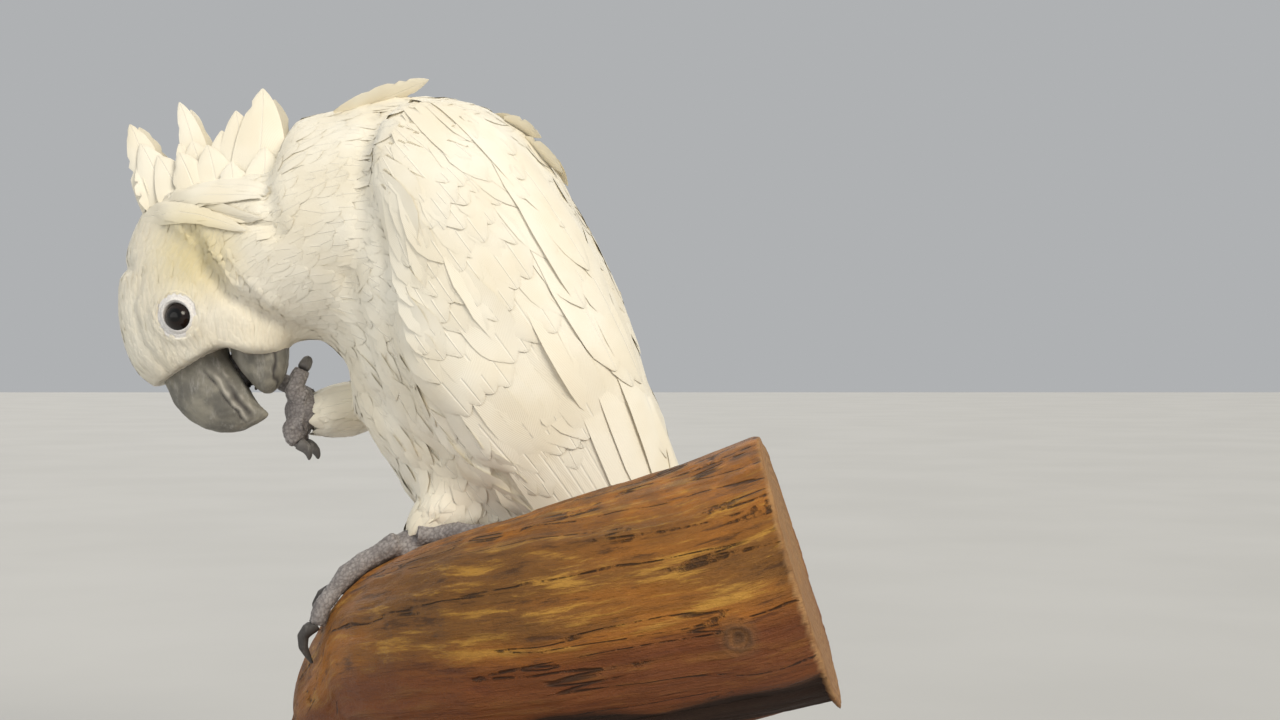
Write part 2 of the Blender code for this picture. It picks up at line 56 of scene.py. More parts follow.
# %% [markdown]
# The bird's own measures are easiest to think of in millimetres, with y = 0 in its middle.
# One datum, taken from the stand's base, turns them into places in the frame.

# %% Places on the bird
base_low, base_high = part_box("stand_base")
DATUM = np.array(
    [(base_low[0] + base_high[0]) / 2 - 20 * MM, (base_low[1] + base_high[1]) / 2 + 56 * MM, 112 * MM]
)
LEFT, RIGHT = -1, 1
SIDES = {"left": LEFT, "right": RIGHT}


def at(*place):
    """A place in the frame from millimetres in the bird's own measure."""
    return np.array(place, float) * MM + DATUM


def middle_of(node):
    low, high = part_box(node)
    return (np.array(low) + np.array(high)) / 2


EYES = {side: middle_of("eye_" + side) for side in SIDES}
EYE_RADIUS = (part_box("eye_left")[1][0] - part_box("eye_left")[0][0]) / 2
# the lids open a little in front of and above the middle of the ball, in a ring of bare skin
LIDS = {side: centre + np.array([-1.0, 0.0, 0.7]) * MM for side, centre in EYES.items()}
BARE_RING = 8.4 * MM
print("datum", DATUM.round(4), "eye radius", round(EYE_RADIUS / MM, 2), "mm")

# %% [markdown]
# The camera stands level with the bird's side, a long arm's length away, as someone would who
# leans in to look at its face. It comes first, so that each piece can be judged through it.

# %% Camera
camera = bpy.data.objects.new("camera", bpy.data.cameras.new("camera"))
bpy.context.scene.collection.objects.link(camera)
bpy.context.scene.camera = camera
camera.data.lens = 50
camera.data.sensor_width = 36
camera.location = at(68, -711, 118)
camera.rotation_euler = (math.radians(90), 0, 0)
print("camera at", [round(c, 3) for c in camera.location])

# %% [markdown]
# A shader is arithmetic on sockets. Wrapping a socket in a small class lets the finishes below
# be written as plain expressions, such as 1 - mask, and keeps the node trees tidy.


# %% Shader arithmetic
class Flow:
    """A value on its way through a finish."""

    def __init__(self, finish, socket):
        self.finish, self.socket = finish, socket

    def _maths(self, operation, *values):
        return self.finish.node("ShaderNodeMath", {"operation": operation}, values)

    def __add__(self, other):
        return self._maths("ADD", self, other)

    def __sub__(self, other):
        return self._maths("SUBTRACT", self, other)

    def __rsub__(self, other):
        return self._maths("SUBTRACT", other, self)

    def __mul__(self, other):
        return self._maths("MULTIPLY", self, other)

    def __truediv__(self, other):
        return self._maths("DIVIDE", self, other)

    def __pow__(self, other):
        return self._maths("POWER", self, other)

    __radd__, __rmul__ = __add__, __mul__

    def size(self):
        return self._maths("ABSOLUTE", self)

    def least(self, other):
        return self._maths("MINIMUM", self, other)

    def waves(self):
        """Even waves between 0 and 1, one for each whole number."""
        return self._maths("SINE", self * math.tau) * 0.5 + 0.5

    def rise(self, start, end):
        """0 at start, 1 at end and smooth between, whichever is larger."""
        return self.finish.node(
            "ShaderNodeMapRange", {"interpolation_type": "SMOOTHSTEP"}, (self, start, end, 0.0, 1.0)
        )


class Finish:
    """A material under construction: steady values on sockets, varying ones through nodes."""

    def __init__(self, name, **steady):
        self.material = bpy.data.materials.new(name)
        self.material.use_nodes = True
        self.tree = self.material.node_tree
        self.shader = self.tree.nodes["Principled BSDF"]
        for socket, value in steady.items():
            self.shader.inputs[socket.replace("_", " ")].default_value = value

    def node(self, kind, settings=(), inputs=(), output=0):
        made = self.tree.nodes.new(kind)
        for key, value in dict(settings).items():
            setattr(made, key, value)
        pairs = inputs.items() if isinstance(inputs, dict) else enumerate(inputs)
        for key, value in pairs:
            if isinstance(value, Flow):
                self.tree.links.new(value.socket, made.inputs[key])
            else:
                made.inputs[key].default_value = value
        return Flow(self, made.outputs[output])

    def place(self):
        return self.node("ShaderNodeTexCoord", output="Object")

    def map(self, name):
        return self.node("ShaderNodeUVMap", {"uv_map": name})

    def fact(self, name, output="Fac"):
        """What a mesh stores at each of its corners under this name."""
        return self.node("ShaderNodeAttribute", {"attribute_name": name}, output=output)

    def parts(self, vector):
        made = self.node("ShaderNodeSeparateXYZ", inputs=[vector])
        return [Flow(self, socket) for socket in made.socket.node.outputs]

    def noise(self, vector, scale, detail=3.0, roughness=0.5, squeeze=None):
        """Soft noise. A squeeze under 1 along an axis draws it out into streaks."""
        if squeeze:
            vector = self.node("ShaderNodeMapping", inputs={"Vector": vector, "Scale": squeeze})
        return self.node(
            "ShaderNodeTexNoise",
            inputs={"Vector": vector, "Scale": scale, "Detail": detail, "Roughness": roughness},
        )

    def from_edges(self, vector, scale):
        """How far a place is from the edge between two small cells."""
        return self.node(
            "ShaderNodeTexVoronoi",
            {"feature": "DISTANCE_TO_EDGE"},
            {"Vector": vector, "Scale": scale},
        )

    def mix(self, mask, first, second):
        return self.node(
            "ShaderNodeMix", {"data_type": "RGBA"}, {0: mask, 6: first, 7: second}, output=2
        )

    def distance(self, place, point):
        return self.node(
            "ShaderNodeVectorMath", {"operation": "DISTANCE"}, [place, tuple(point)], output=1
        )

    def feed(self, **varying):
        for socket, flow in varying.items():
            self.tree.links.new(flow.socket, self.shader.inputs[socket.replace("_", " ")])
        print(self.material.name, "finish with", len(self.tree.nodes), "nodes")
        return self.material

    def relief(self, height, depth, strength):
        """A bump, its depth in metres."""
        return self.node(
            "ShaderNodeBump", inputs={"Strength": strength, "Distance": depth, "Height": height}
        )


def rgb(red, green, blue):
    return (red, green, blue, 1.0)


# %% [markdown]
# White plumage is never plain white. It is a warm cream, and each feather differs slightly from
# its neighbour. Behind the eye and on the ear it turns a darker yellow-brown, partly a yellow
# tinge and partly painted shade. Its gloss comes from fine barbs that slant from the shaft, so a
# faint relief of barbs runs along every vane. Skin and feathers share the same colour recipe, so
# that no dark skin shows between two feathers.

# %% Plumage finish
EAR = {side: at(-105, side * 24, 160) for side in (LEFT, RIGHT)}


def plumage_colour(finish):
    place = finish.place()
    cloudy = finish.noise(place, 45.0, 2.0)
    cream = finish.mix(cloudy.rise(0.3, 0.7), rgb(0.87, 0.805, 0.655), rgb(0.93, 0.89, 0.775))
    near_ear = finish.distance(place, EAR[LEFT]).least(finish.distance(place, EAR[RIGHT]))
    # round the ear a darker yellow-brown: partly a yellow tinge, partly painted shade
    return finish.mix(1 - near_ear.rise(4 * MM, 27 * MM), cream, rgb(0.77, 0.67, 0.40))


def feather_finish():
    finish = Finish("feather", Roughness=0.62, Sheen_Weight=0.2, Sheen_Roughness=0.4)
    across, along, _ = finish.parts(finish.map("Vane"))
    off_shaft = (across - 0.5).size()
    barbs = (along * 34 + off_shaft * 26).waves()
    shaft = 1 - off_shaft.rise(0.0, 0.035)
    tint = finish.fact("tint")
    colour = finish.mix(tint * 0.22, plumage_colour(finish), rgb(0.80, 0.755, 0.64))
    colour = finish.mix(shaft * 0.35, colour, rgb(0.93, 0.90, 0.82))
    height = barbs * 0.25 + shaft * 1.6
    return finish.feed(Base_Color=colour, Normal=finish.relief(height, 0.0002, 0.6))


FEATHER = feather_finish()

# %% [markdown]
# The bare ring round the eye is chalky white skin with fine creases. The rest of the skin is
# feather-coloured down. Distances from the two eyes say where the bare ring is.


# %% Skin finish
def skin_finish():
    finish = Finish("skin", Roughness=0.75, Sheen_Weight=0.15)
    place = finish.place()
    from_eye = finish.distance(place, LIDS["left"]).least(finish.distance(place, LIDS["right"]))
    ring = 1 - from_eye.rise(BARE_RING, BARE_RING + 1.4 * MM)
    chalk = finish.mix(
        finish.noise(place, 900.0, 3.0).rise(0.35, 0.7), rgb(0.74, 0.72, 0.72), rgb(0.88, 0.865, 0.85)
    )
    lid_edge = 1 - from_eye.rise(5.6 * MM, 6.3 * MM)
    chalk = finish.mix(lid_edge * 0.8, chalk, rgb(0.30, 0.27, 0.25))
    colour = finish.mix(ring, plumage_colour(finish), chalk)
    creases = finish.from_edges(place, 1100.0).rise(0.0, 0.25)
    down = finish.noise(place, 700.0, 4.0)
    height = ring * creases + (1 - ring) * down
    return finish.feed(Base_Color=colour, Normal=finish.relief(height, 0.00018, 0.5))


SKIN = skin_finish()

# %% [markdown]
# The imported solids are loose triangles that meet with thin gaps. To make one seamless body,
# copies of them are joined, melted together on a fine grid (a voxel remesh) and smoothed. The
# same helpers serve the feet, the bill and the limb.


# %% Melt solids together
def merged_copy(*names):
    """These nodes' solids in one bmesh, their loose triangles joined up."""
    bm = bmesh.new()
    for name in names:
        bm.from_mesh(nodes[name].data)
    bmesh.ops.remove_doubles(bm, verts=bm.verts, dist=1e-6)
    return bm


def melted(bm, grain, rounds, grow=0.0):
    """One even closed skin round all that a bmesh holds, smoothed.

    Parts that nearly touch are grown together first, and the whole is shrunk back after.
    """
    if grow:
        bm.normal_update()
        put(bm, [v.co + v.normal * grow for v in bm.verts])
    mesh = bpy.data.meshes.new("melt")
    bm.to_mesh(mesh)
    bm.free()
    block = bpy.data.objects.new("melt", mesh)
    bpy.context.scene.collection.objects.link(block)
    modifier = block.modifiers.new("melt", "REMESH")
    modifier.mode = "VOXEL"
    modifier.voxel_size = grain
    made = bpy.data.meshes.new_from_object(
        block.evaluated_get(bpy.context.evaluated_depsgraph_get())
    )
    bpy.data.objects.remove(block)
    bm = bmesh.new()
    bm.from_mesh(made)
    drop_scraps(bm)
    for _ in range(rounds):
        bmesh.ops.smooth_vert(
            bm, verts=bm.verts, factor=0.5, use_axis_x=True, use_axis_y=True, use_axis_z=True
        )
    bm.normal_update()
    if grow:
        put(bm, [v.co - v.normal * grow for v in bm.verts])
    return bm


def drop_scraps(bm):
    """Removes shells that have under a thirtieth of the largest one's corners."""
    unseen, shells = set(bm.verts), []
    while unseen:
        shell, edge = set(), [unseen.pop()]
        while edge:
            vert = edge.pop()
            shell.add(vert)
            for link in vert.link_edges:
                other = link.other_vert(vert)
                if other in unseen:
                    unseen.discard(other)
                    edge.append(other)
        shells.append(shell)
    most = max(len(shell) for shell in shells)
    for shell in shells:
        if len(shell) < most / 30:
            bmesh.ops.delete(bm, geom=list(shell), context="VERTS")


def places_of(bm):
    return np.array([v.co[:] for v in bm.verts]), np.array([v.normal[:] for v in bm.verts])


def put(bm, places):
    for vert, place in zip(bm.verts, places):
        vert.co = place
    bm.normal_update()


def piece(name, bm, material, *replaced):
    """Ends a bmesh as a finished piece that rides with the model."""
    mesh = bpy.data.meshes.new(name)
    bm.to_mesh(mesh)
    bm.free()
    print(name, len(mesh.polygons), "faces")
    return finished(name, mesh, material, *replaced)


def finished(name, mesh, material, *replaced):
    """An object of a mesh, with its finish, its body and the nodes it replaces."""
    mesh.shade_smooth()
    mesh.materials.append(material)
    obj = bpy.data.objects.new(name, mesh)
    bpy.context.scene.collection.objects.link(obj)
    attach(obj, "root")
    if replaced:
        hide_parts(*replaced)
    return obj


def with_facts(obj, **facts):
    """Stores a value or a place per corner of the mesh for the finish to read."""
    for name, values in facts.items():
        values = np.ascontiguousarray(values, dtype=np.float32)
        if values.ndim == 1:
            layer = obj.data.attributes.new(name, "FLOAT", "POINT")
            layer.data.foreach_set("value", values)
        else:
            layer = obj.data.attributes.new(name, "FLOAT_VECTOR", "POINT")
            layer.data.foreach_set("vector", values.reshape(-1))


# %% Measures
def surface(*names):
    """These nodes' solids as one surface to measure from."""
    bm = merged_copy(*names)
    tree = BVHTree.FromBMesh(bm)
    bm.free()
    return tree


def reach(tree, places):
    """How far each place is from a surface."""
    return np.array([tree.find_nearest(Vector(p))[3] for p in places])


def ease(value, start, end):
    """0 at start, 1 at end and smooth between."""
    share = np.clip((value - start) / (end - start), 0, 1)
    return share * share * (3 - 2 * share)


def hump(value, top, width):
    """1 where a value is at its top, falling off smoothly by a width to either side."""
    return np.exp(-(((value - top) / width) ** 2))


def unit(ways):
    """The same ways, each of length one."""
    return ways / np.linalg.norm(ways, axis=-1, keepdims=True)


# %% [markdown]
# Feathers all lie one way, like slates: back from the bill over the crown, round the bowed
# neck and down the body. A line through the middle of the bird, bill to tail, gives that way
# at any place: its direction there, laid flat on the skin. How far along the line a place is,
# its station, also says how large its feathers are and how deep the coat is.

# %% The lay of the coat
# the line from bill to tail, and the one down each leg
SPINE = [(-92, 96), (-107, 126), (-99, 153), (-77, 167), (-47, 172), (-18, 160), (3, 132)]
SPINE += [(32, 78), (65, 35), (82, 8), (122, -88)]
LEG_LINES = {"leg_left": ((4, -18, 72), (-14, -26, 53)), "leg_right": ((-36, 17, 104), (-61, 10, 97))}


def curve_through(points, count):
    """Even steps in count on a smooth curve through a few points."""
    points = np.array(points, float)
    ends = np.vstack([2 * points[0] - points[1], points, 2 * points[-1] - points[-2]])
    s = np.linspace(0, len(points) - 1, count)
    i = np.minimum(s.astype(int), len(points) - 2)
    f = (s - i)[:, None]
    a, b, c, d = (ends[i + k] for k in range(4))
    return b + 0.5 * f * (c - a + f * (2 * a - 5 * b + 4 * c - d + f * (3 * (b - c) + d - a)))


def along_curve(curve):
    """The way a curve runs at each of its places, and how far along it they are."""
    far = np.r_[0, np.cumsum(np.linalg.norm(np.diff(curve, axis=0), axis=1))]
    return unit(np.gradient(curve, axis=0)), far


spine = curve_through(SPINE, 160)
spine_way, spine_station = along_curve(spine)
BILL_ROOT = at(-98, 0, 108)


def station_and_way(places):
    """Station on the coat's line and the line's way there, for each place."""
    flat = ((places - DATUM) / MM)[:, [0, 2]]
    near = 1 / (((flat[:, None] - spine[None]) ** 2).sum(2) + 20) ** 4
    near /= near.sum(1)[:, None]
    way = near @ spine_way
    return near @ spine_station, np.column_stack([way[:, 0], np.zeros(len(way)), way[:, 1]])


def lay(places, normals, legs):
    """The way the feathers lie at each place, flat on the skin."""
    _, way = station_and_way(places)
    out = places - BILL_ROOT
    far = np.linalg.norm(out, axis=1)[:, None]
    # round the bill's root they spread like rays
    way = way + out / far * 1.3 * hump(far, 0, 26 * MM)
    for leg, near in legs.items():
        start, end = LEG_LINES[leg]
        along = unit(np.subtract(end, start))
        way = way * (1 - near[:, None]) + along * near[:, None]
    way -= normals * (way * normals).sum(1)[:, None]
    return way / np.maximum(np.linalg.norm(way, axis=1), 1e-9)[:, None]


print("coat line of", round(spine_station[-1]), "mm from bill to tail")

# %% [markdown]
# Plumage is never smooth all over. It parts in creases where the body bends and swells in soft
# clumps between them. Those are pressed into the skin first, as a list of folds: a line seen
# from the side, how far it is pushed out or in, and how wide it is. The feathers then follow.


# %% Folds and clumps
def cloudy(places, size, seed=0.0):
    """Smooth chance between -1 and 1 at each place, with lumps of about this size."""
    return np.array([noise.noise(Vector(p) / size + Vector((seed, 0, 0))) for p in places])


# each: its line, how far it is pushed out, its width, and whether it marks the outline too
FOLDS = [
    # between cheek and neck, and the two loose locks that lie along it
    ([(-107, 168), (-100, 154), (-90, 141), (-73, 131), (-53, 122)], -2.7, 2.9),
    ([(-99, 164), (-93, 154), (-86, 144)], 1.1, 1.0),
    ([(-92, 160), (-83, 148), (-74, 138)], 1.2, 1.2),
    # under the crest, and between crest and nape
    ([(-133, 183), (-105, 178), (-76, 169)], -2.2, 2.4),
    ([(-78, 205), (-77, 184), (-72, 166)], -2.6, 3.2),
    # the notch over the brow and the inner border of the pad above the bill
    ([(-146, 154.5), (-134, 154.5)], -1.7, 2.8, 1),
    ([(-144, 184), (-146, 158)], -2.3, 7.0, 1),
    ([(-127, 152), (-131.5, 139), (-127, 124), (-116, 111)], -0.9, 1.6),
    ([(-137, 150), (-138, 132), (-131, 112)], 0.9, 3.6),
    # the full throat under the cheek
    ([(-84, 121), (-68, 120), (-56, 122)], 3.2, 6.0, 1),
    # the fluffy cuff of the raised leg
    ([(-66, 94), (-50, 95)], 3.2, 7.5, 1),
    # neck against shoulder, and the lobe of small coverts on the shoulder
    ([(-36, 214), (-37, 190), (-38, 164), (-47, 142)], -2.4, 3.2),
    ([(-33, 172), (-26, 161), (-18, 162), (-13, 172)], -1.2, 1.6),
    # the full lobes of the wing's front border, and the grooves between them
    ([(-22, 205), (-22, 184)], 1.4, 8.0),
    ([(-14, 160), (-14, 143), (-8, 132), (-8, 117), (-4, 97), (4, 80), (17, 76)], -0.9, 3.4),
    ([(4, 148), (6, 116), (16, 92)], 1.1, 10.0),
    ([(46, 155), (56, 132)], -0.6, 4.0),
    # breast and belly
    ([(-46, 150), (-40, 128), (-32, 104)], -1.8, 3.0),
    ([(-38, 104), (-24, 90), (-10, 82)], -2.2, 3.2),
    ([(-14, 108), (2, 84), (16, 72)], -2.2, 2.6),
    ([(16, 74), (26, 62), (40, 54)], -1.6, 2.6),
    ([(-20, 76), (-4, 66), (10, 58)], -1.6, 3.0),
]
print(len(FOLDS), "folds")


def from_line(flat, line):
    """Distance of places seen from the side from a line of places."""
    line = np.array(line, float)
    best = np.full(len(flat), 1e9)
    for a, b in zip(line[:-1], line[1:]):
        share = np.clip(((flat - a) @ (b - a)) / ((b - a) @ (b - a)), 0, 1)
        best = np.minimum(best, np.linalg.norm(flat - a - share[:, None] * (b - a), axis=1))
    return best


def folded(places, normals):
    """How far the folds and clumps push each place out."""
    own = (places - DATUM) / MM
    flat = own[:, [0, 2]]
    flank = ease(np.abs(normals[:, 1]), 0.12, 0.5)
    depth = np.zeros(len(places))
    for line, push, width, *outline_too in FOLDS:
        depth += push * hump(from_line(flat, line), 0, width) * (1 if outline_too else flank)
    station, way = station_and_way(places)
    body = ease(station, 90, 140)
    clumps = cloudy(places * np.array([1, 1, 0.8]), 17 * MM, 3.0)
    pleats = cloudy(places - way * (places * way).sum(1)[:, None] * 0.8, 7 * MM, 8.0)
    return (depth + body * (clumps * 1.9 + pleats * 0.5)) * MM


# %% [markdown]
# The skin is one mesh: head, neck, trunk, legs and the fleshy part of each wing, without a
# seam. It lies inside the solids by the depth of the coat that will cover it, hardly any on
# the face and more on the body. Round each eye the mesh is divided finely and shaped into a
# lid that hugs the eyeball, with creased bare skin round it.

# %% Skin
FLESH = ["head", "neck", "trunk", "leg_left", "leg_right"]
ARMS = [f"wing_{side}_{part}" for side in SIDES for part in ("coverts", "secondaries")]


def eye_plug(bm, centre):
    """Fills the eye's socket flush with the face, so that the lids can be shaped afresh."""
    made = bmesh.ops.create_uvsphere(bm, u_segments=24, v_segments=12, radius=EYE_RADIUS * 1.1)
    bmesh.ops.scale(bm, vec=(1, 0.52, 1), verts=made["verts"])
    bmesh.ops.translate(bm, vec=centre, verts=made["verts"])


bm = merged_copy(*FLESH, *ARMS)
for centre in EYES.values():
    eye_plug(bm, centre)
bm = melted(bm, 1.5 * MM, 5)
# divided once round each eye, and again close to it
for centre in EYES.values():
    for radius in (17 * MM, 12.5 * MM):
        close = [e for e in bm.edges if all((v.co - Vector(centre)).length < radius for v in e.verts)]
        bmesh.ops.subdivide_edges(bm, edges=close, cuts=1, use_grid_fill=True)
bm.normal_update()

places, normals = places_of(bm)
station, _ = station_and_way(places)
arm_tree = surface(*ARMS)
leg_trees = {leg: surface(leg) for leg in LEG_LINES}
on_arm = reach(arm_tree, places) < 2 * MM
on_leg = sum(1 - ease(reach(tree, places), 1.5 * MM, 4 * MM) for tree in leg_trees.values())
depth = np.interp(station, [0, 35, 70, 120, 300], [0.9, 1.2, 2.0, 2.8, 3.0]) * MM
depth = depth * (1 - 0.55 * np.minimum(on_leg, 1))
depth = np.where(on_arm, np.minimum(depth, 1.6 * MM), depth)
own = (places - DATUM) / MM
# the crest hides how low the crown really is
crown = np.interp(own[:, 0], [-134, -79], [183, 172])
sink = ease(own[:, 0], -136, -128) * (1 - ease(own[:, 0], -82, -66)) * 0.42
places[:, 2] -= np.maximum(own[:, 2] - crown, 0) * sink * MM
arms_flat = np.where(on_arm, 0.8, 1.0)
places = places + normals * (folded(places, normals) * arms_flat - depth)[:, None]
print("coat", (depth.min() / MM).round(1), "to", (depth.max() / MM).round(1), "mm deep")

# %% Lids
for side, centre in LIDS.items():
    out = np.array([0.0, SIDES[side], 0.0])
    offset = places - centre
    height = offset @ out
    flat = offset - out * height[:, None]
    radius = np.linalg.norm(flat, axis=1)
    turn = np.arctan2(flat[:, 2], flat[:, 0])
    radius_round = radius * (1 + 0.06 * np.cos(2 * (turn - 0.6)))
    near = (radius < 15 * MM) & (height > -2 * MM)
    lift = 0.9 * MM * (1 - ease(radius, 9 * MM, 13 * MM))
    lid = 1.35 * MM * hump(radius_round, 5.9 * MM, 0.85 * MM)
    crease = 0.17 * MM * np.cos((radius_round - 6.1 * MM) / (1.5 * MM) * math.tau)
    crease *= ease(radius, 6.6 * MM, 7.6 * MM) * (1 - ease(radius, 9 * MM, 11.5 * MM))
    socket = -4.2 * MM * (1 - ease(radius_round, 3.9 * MM, 4.8 * MM))
    change = np.where(near, lift + lid + crease + socket, 0)
    places = places + out * change[:, None]
put(bm, places)
bmesh.ops.triangulate(bm, faces=[f for f in bm.faces if len(f.verts) > 4])
skin_bed = BVHTree.FromBMesh(bm)
skin = piece("skin", bm, SKIN, *FLESH)

# %% [markdown]
# The skin is unwrapped on its own shape into a map, and every feather will own a tiny patch
# of it where it is rooted.

# %% Unwrap the skin
skin.data.uv_layers.new(name="OFBake")
bpy.context.view_layer.objects.active = skin
skin.select_set(True)
bpy.ops.object.mode_set(mode="EDIT")
bpy.ops.mesh.select_all(action="SELECT")
bpy.ops.uv.smart_project(angle_limit=math.radians(66), island_margin=0.002)
bpy.ops.object.mode_set(mode="OBJECT")
skin_map = np.empty(len(skin.data.loops) * 2)
skin.data.uv_layers["OFBake"].data.foreach_get("uv", skin_map)
skin_map = skin_map.reshape(-1, 2)
first_corner = np.empty(len(skin.data.polygons), int)
skin.data.polygons.foreach_get("loop_start", first_corner)
print("unwrapped", skin_map.min(0).round(3), "to", skin_map.max(0).round(3))

# %% [markdown]
# A vane is a leaf of keratin, thin at its rim. One template is cut from a grid, given two
# faces and pinched shut at the rim; every feather is this template laid along its own line.
# Only the line, the width and the outline differ, which keeps tens of thousands light.

# %% Vane template
rng = np.random.default_rng(11)


def vane_template(lanes, rows):
    """Grid corners as (lane from -1 to 1, row number, upper or lower face) and the faces."""
    bm = bmesh.new()
    bmesh.ops.create_grid(bm, x_segments=lanes, y_segments=rows, size=1)
    bmesh.ops.solidify(bm, geom=bm.faces[:], thickness=0.5)
    # its upper face now lies at 0 and its lower one at -0.5
    for vert in bm.verts:
        upper = 1.0 if vert.co.z > -0.25 else -1.0
        rim = max(abs(vert.co.x), abs(vert.co.y)) > 0.999
        vert.co.z = 0.0 if rim else upper
    bmesh.ops.remove_doubles(bm, verts=bm.verts, dist=1e-4)
    bmesh.ops.recalc_face_normals(bm, faces=bm.faces)
    corners = np.array([v.co[:] for v in bm.verts])
    rows_at = np.rint((corners[:, 1] + 1) / 2 * rows).astype(int)
    faces = [[v.index for v in f.verts] for f in bm.faces]
    bm.free()
    return corners[:, 0], rows_at, corners[:, 2], faces


# share of the length, and half width as a share of the widest, at each row
SMALL = (np.array([0, 0.28, 0.55, 0.78, 0.93, 1]), np.array([0.3, 0.74, 1, 0.93, 0.66, 0.24]))
BROAD_ROWS = np.array([0, 0.1, 0.22, 0.36, 0.5, 0.64, 0.76, 0.86, 0.93, 0.975, 1])
BROAD = (BROAD_ROWS, np.array([0.28, 0.5, 0.72, 0.88, 0.97, 1, 0.98, 0.9, 0.74, 0.5, 0.2]))
FINE_ROWS = 1 - np.linspace(1, 0, 17) ** 1.25
PLUME_WIDTHS = [0.5, 0.72, 0.9, 1, 0.98, 0.88, 0.73, 0.56, 0.39, 0.22, 0.06]
PLUME = (FINE_ROWS, np.interp(FINE_ROWS, BROAD_ROWS, PLUME_WIDTHS))
SHAPES = {"small": SMALL, "broad": BROAD, "plume": PLUME}
TEMPLATES = {
    "small": vane_template(4, 5), "broad": vane_template(6, 10), "plume": vane_template(8, 16)
}
print({name: len(made[3]) for name, made in TEMPLATES.items()}, "faces per vane")


# %% Loom
def weave(name, kind, lines, ups, half_width, *replaced, thick=0.16, cup=None, roll=None, ragged=0.1):
    """One mesh of vanes, one on each line of places, with its ups as the way it faces."""
    lane, row, face_side, faces = TEMPLATES[kind]
    _, outline = SHAPES[kind]
    count, corners = len(lines), len(lane)
    ahead = unit(np.gradient(lines, axis=1))
    aside = unit(np.cross(ups, ahead))
    half = half_width[:, None] * outline[row][None]
    # a worn rim is nicked here and there
    nick = rng.random((count, corners)) < 0.16
    half = half * (1 - ragged * nick * (np.abs(lane) > 0.9)[None] * rng.random((count, corners)))
    cup = np.zeros((count, 2)) if cup is None else cup
    roll = np.zeros(count) if roll is None else roll
    bend = np.where(lane[None] > 0, cup[:, :1], cup[:, 1:]) * (lane**2 * outline[row])[None]
    up = bend + roll[:, None] * lane[None] + face_side[None] * thick * MM / 2 * (1 - 0.5 * lane**2)
    # toward the tip the edges lag behind the shaft, which rounds it
    back = half * (lane**2)[None] * 0.45 * (row / row.max())[None] ** 2
    corner = lines[:, row] + aside[:, row] * (half * lane[None])[:, :, None]
    corner = corner + ups[:, row] * up[:, :, None] - ahead[:, row] * back[:, :, None]

    mesh = bpy.data.meshes.new(name)
    sizes = np.array([len(f) for f in faces])
    loops = np.concatenate(faces)
    starts = np.r_[0, np.cumsum(sizes)[:-1]]
    mesh.vertices.add(count * corners)
    mesh.vertices.foreach_set("co", corner.reshape(-1))
    mesh.loops.add(count * len(loops))
    every = (np.arange(count) * corners)[:, None] + loops[None]
    mesh.loops.foreach_set("vertex_index", every.reshape(-1))
    mesh.polygons.add(count * len(faces))
    every = (np.arange(count) * len(loops))[:, None] + starts[None]
    mesh.polygons.foreach_set("loop_start", every.reshape(-1))
    mesh.update(calc_edges=True)
    # the rim is a crisp edge, so the light does not roll off the vane before it ends
    ends = np.empty(len(mesh.edges) * 2, int)
    mesh.edges.foreach_get("vertices", ends)
    crisp = (face_side == 0)[ends % corners].reshape(-1, 2).all(1)
    mesh.attributes.new("sharp_edge", "BOOLEAN", "EDGE").data.foreach_set("value", crisp)

    # one map of the vane itself, and a small patch of the skin's map round the feather's root
    roots = np.array(
        [skin_map[first_corner[skin_bed.find_nearest(Vector(line[0]))[2]]] for line in lines]
    )
    vane = np.column_stack([lane * 0.5 + 0.5, row / row.max()])
    patch = roots[:, None] + (vane - 0.5)[None] * 0.003
    for map_name, map_of in (("OFBake", patch), ("Vane", np.tile(vane, (count, 1, 1)))):
        layer = mesh.uv_layers.new(name=map_name)
        layer.data.foreach_set("uv", np.ascontiguousarray(map_of[:, loops]).reshape(-1))
    with_facts(finished(name, mesh, FEATHER, *replaced), tint=np.repeat(rng.random(count) ** 2, corners))
    print(f"{name}: {count} feathers, {len(mesh.polygons) * 2} triangles")


# %% [markdown]
# A contour feather starts just under its neighbours and ends just over them. Its line is found
# by walking over the skin from its root in small steps, each step laid back on the skin, and
# rising a little all the way to the tip. Its two edges droop by as much as the skin falls away
# beside it, so that it wraps the body as a soft vane does.


# %% Walk over the skin
def walk(bed, roots, ways, lengths, kind, foot, tip):
    """Lines of places from roots over a surface, with their ups, foot and tip above it."""
    shares = SHAPES[kind][0]
    lines = np.empty((len(roots), len(shares), 3))
    ups = np.empty_like(lines)
    for i, (root, way, length) in enumerate(zip(roots, ways, lengths)):
        place, way = Vector(root), Vector(way)
        before = 0.0
        for k, share in enumerate(shares):
            hit, normal, _, _ = bed.find_nearest(place + way * ((share - before) * length))
            way = (way - normal * way.dot(normal)).normalized()
            place, before = hit, share
            lines[i, k], ups[i, k] = hit, normal
    ups[:, 1:-1] = (ups[:, :-2] + ups[:, 1:-1] * 2 + ups[:, 2:]) / 4
    ups = unit(ups)
    rise = foot[:, None] + (tip - foot)[:, None] * shares[None]
    return lines + ups * rise[:, :, None], ups


def droop(bed, lines, ups, half_width, limit):
    """How far the surface falls away at either edge of each vane, as its cup."""
    row = lines.shape[1] * 2 // 3
    aside = unit(np.cross(ups[:, row], lines[:, row] - lines[:, row - 1]))
    cup = np.zeros((len(lines), 2))
    for i, (line, up) in enumerate(zip(lines[:, row], ups[:, row])):
        shaft, up = Vector(line), Vector(up)
        lift = (shaft - bed.find_nearest(shaft)[0]).dot(up)
        for edge, sign in enumerate((1, -1)):
            beside = Vector(line + aside[i] * (sign * half_width[i]))
            cup[i, edge] = (bed.find_nearest(beside)[0] - beside).dot(up) + lift
    return np.clip(cup, -limit * half_width[:, None], 0.04 * limit * half_width[:, None])


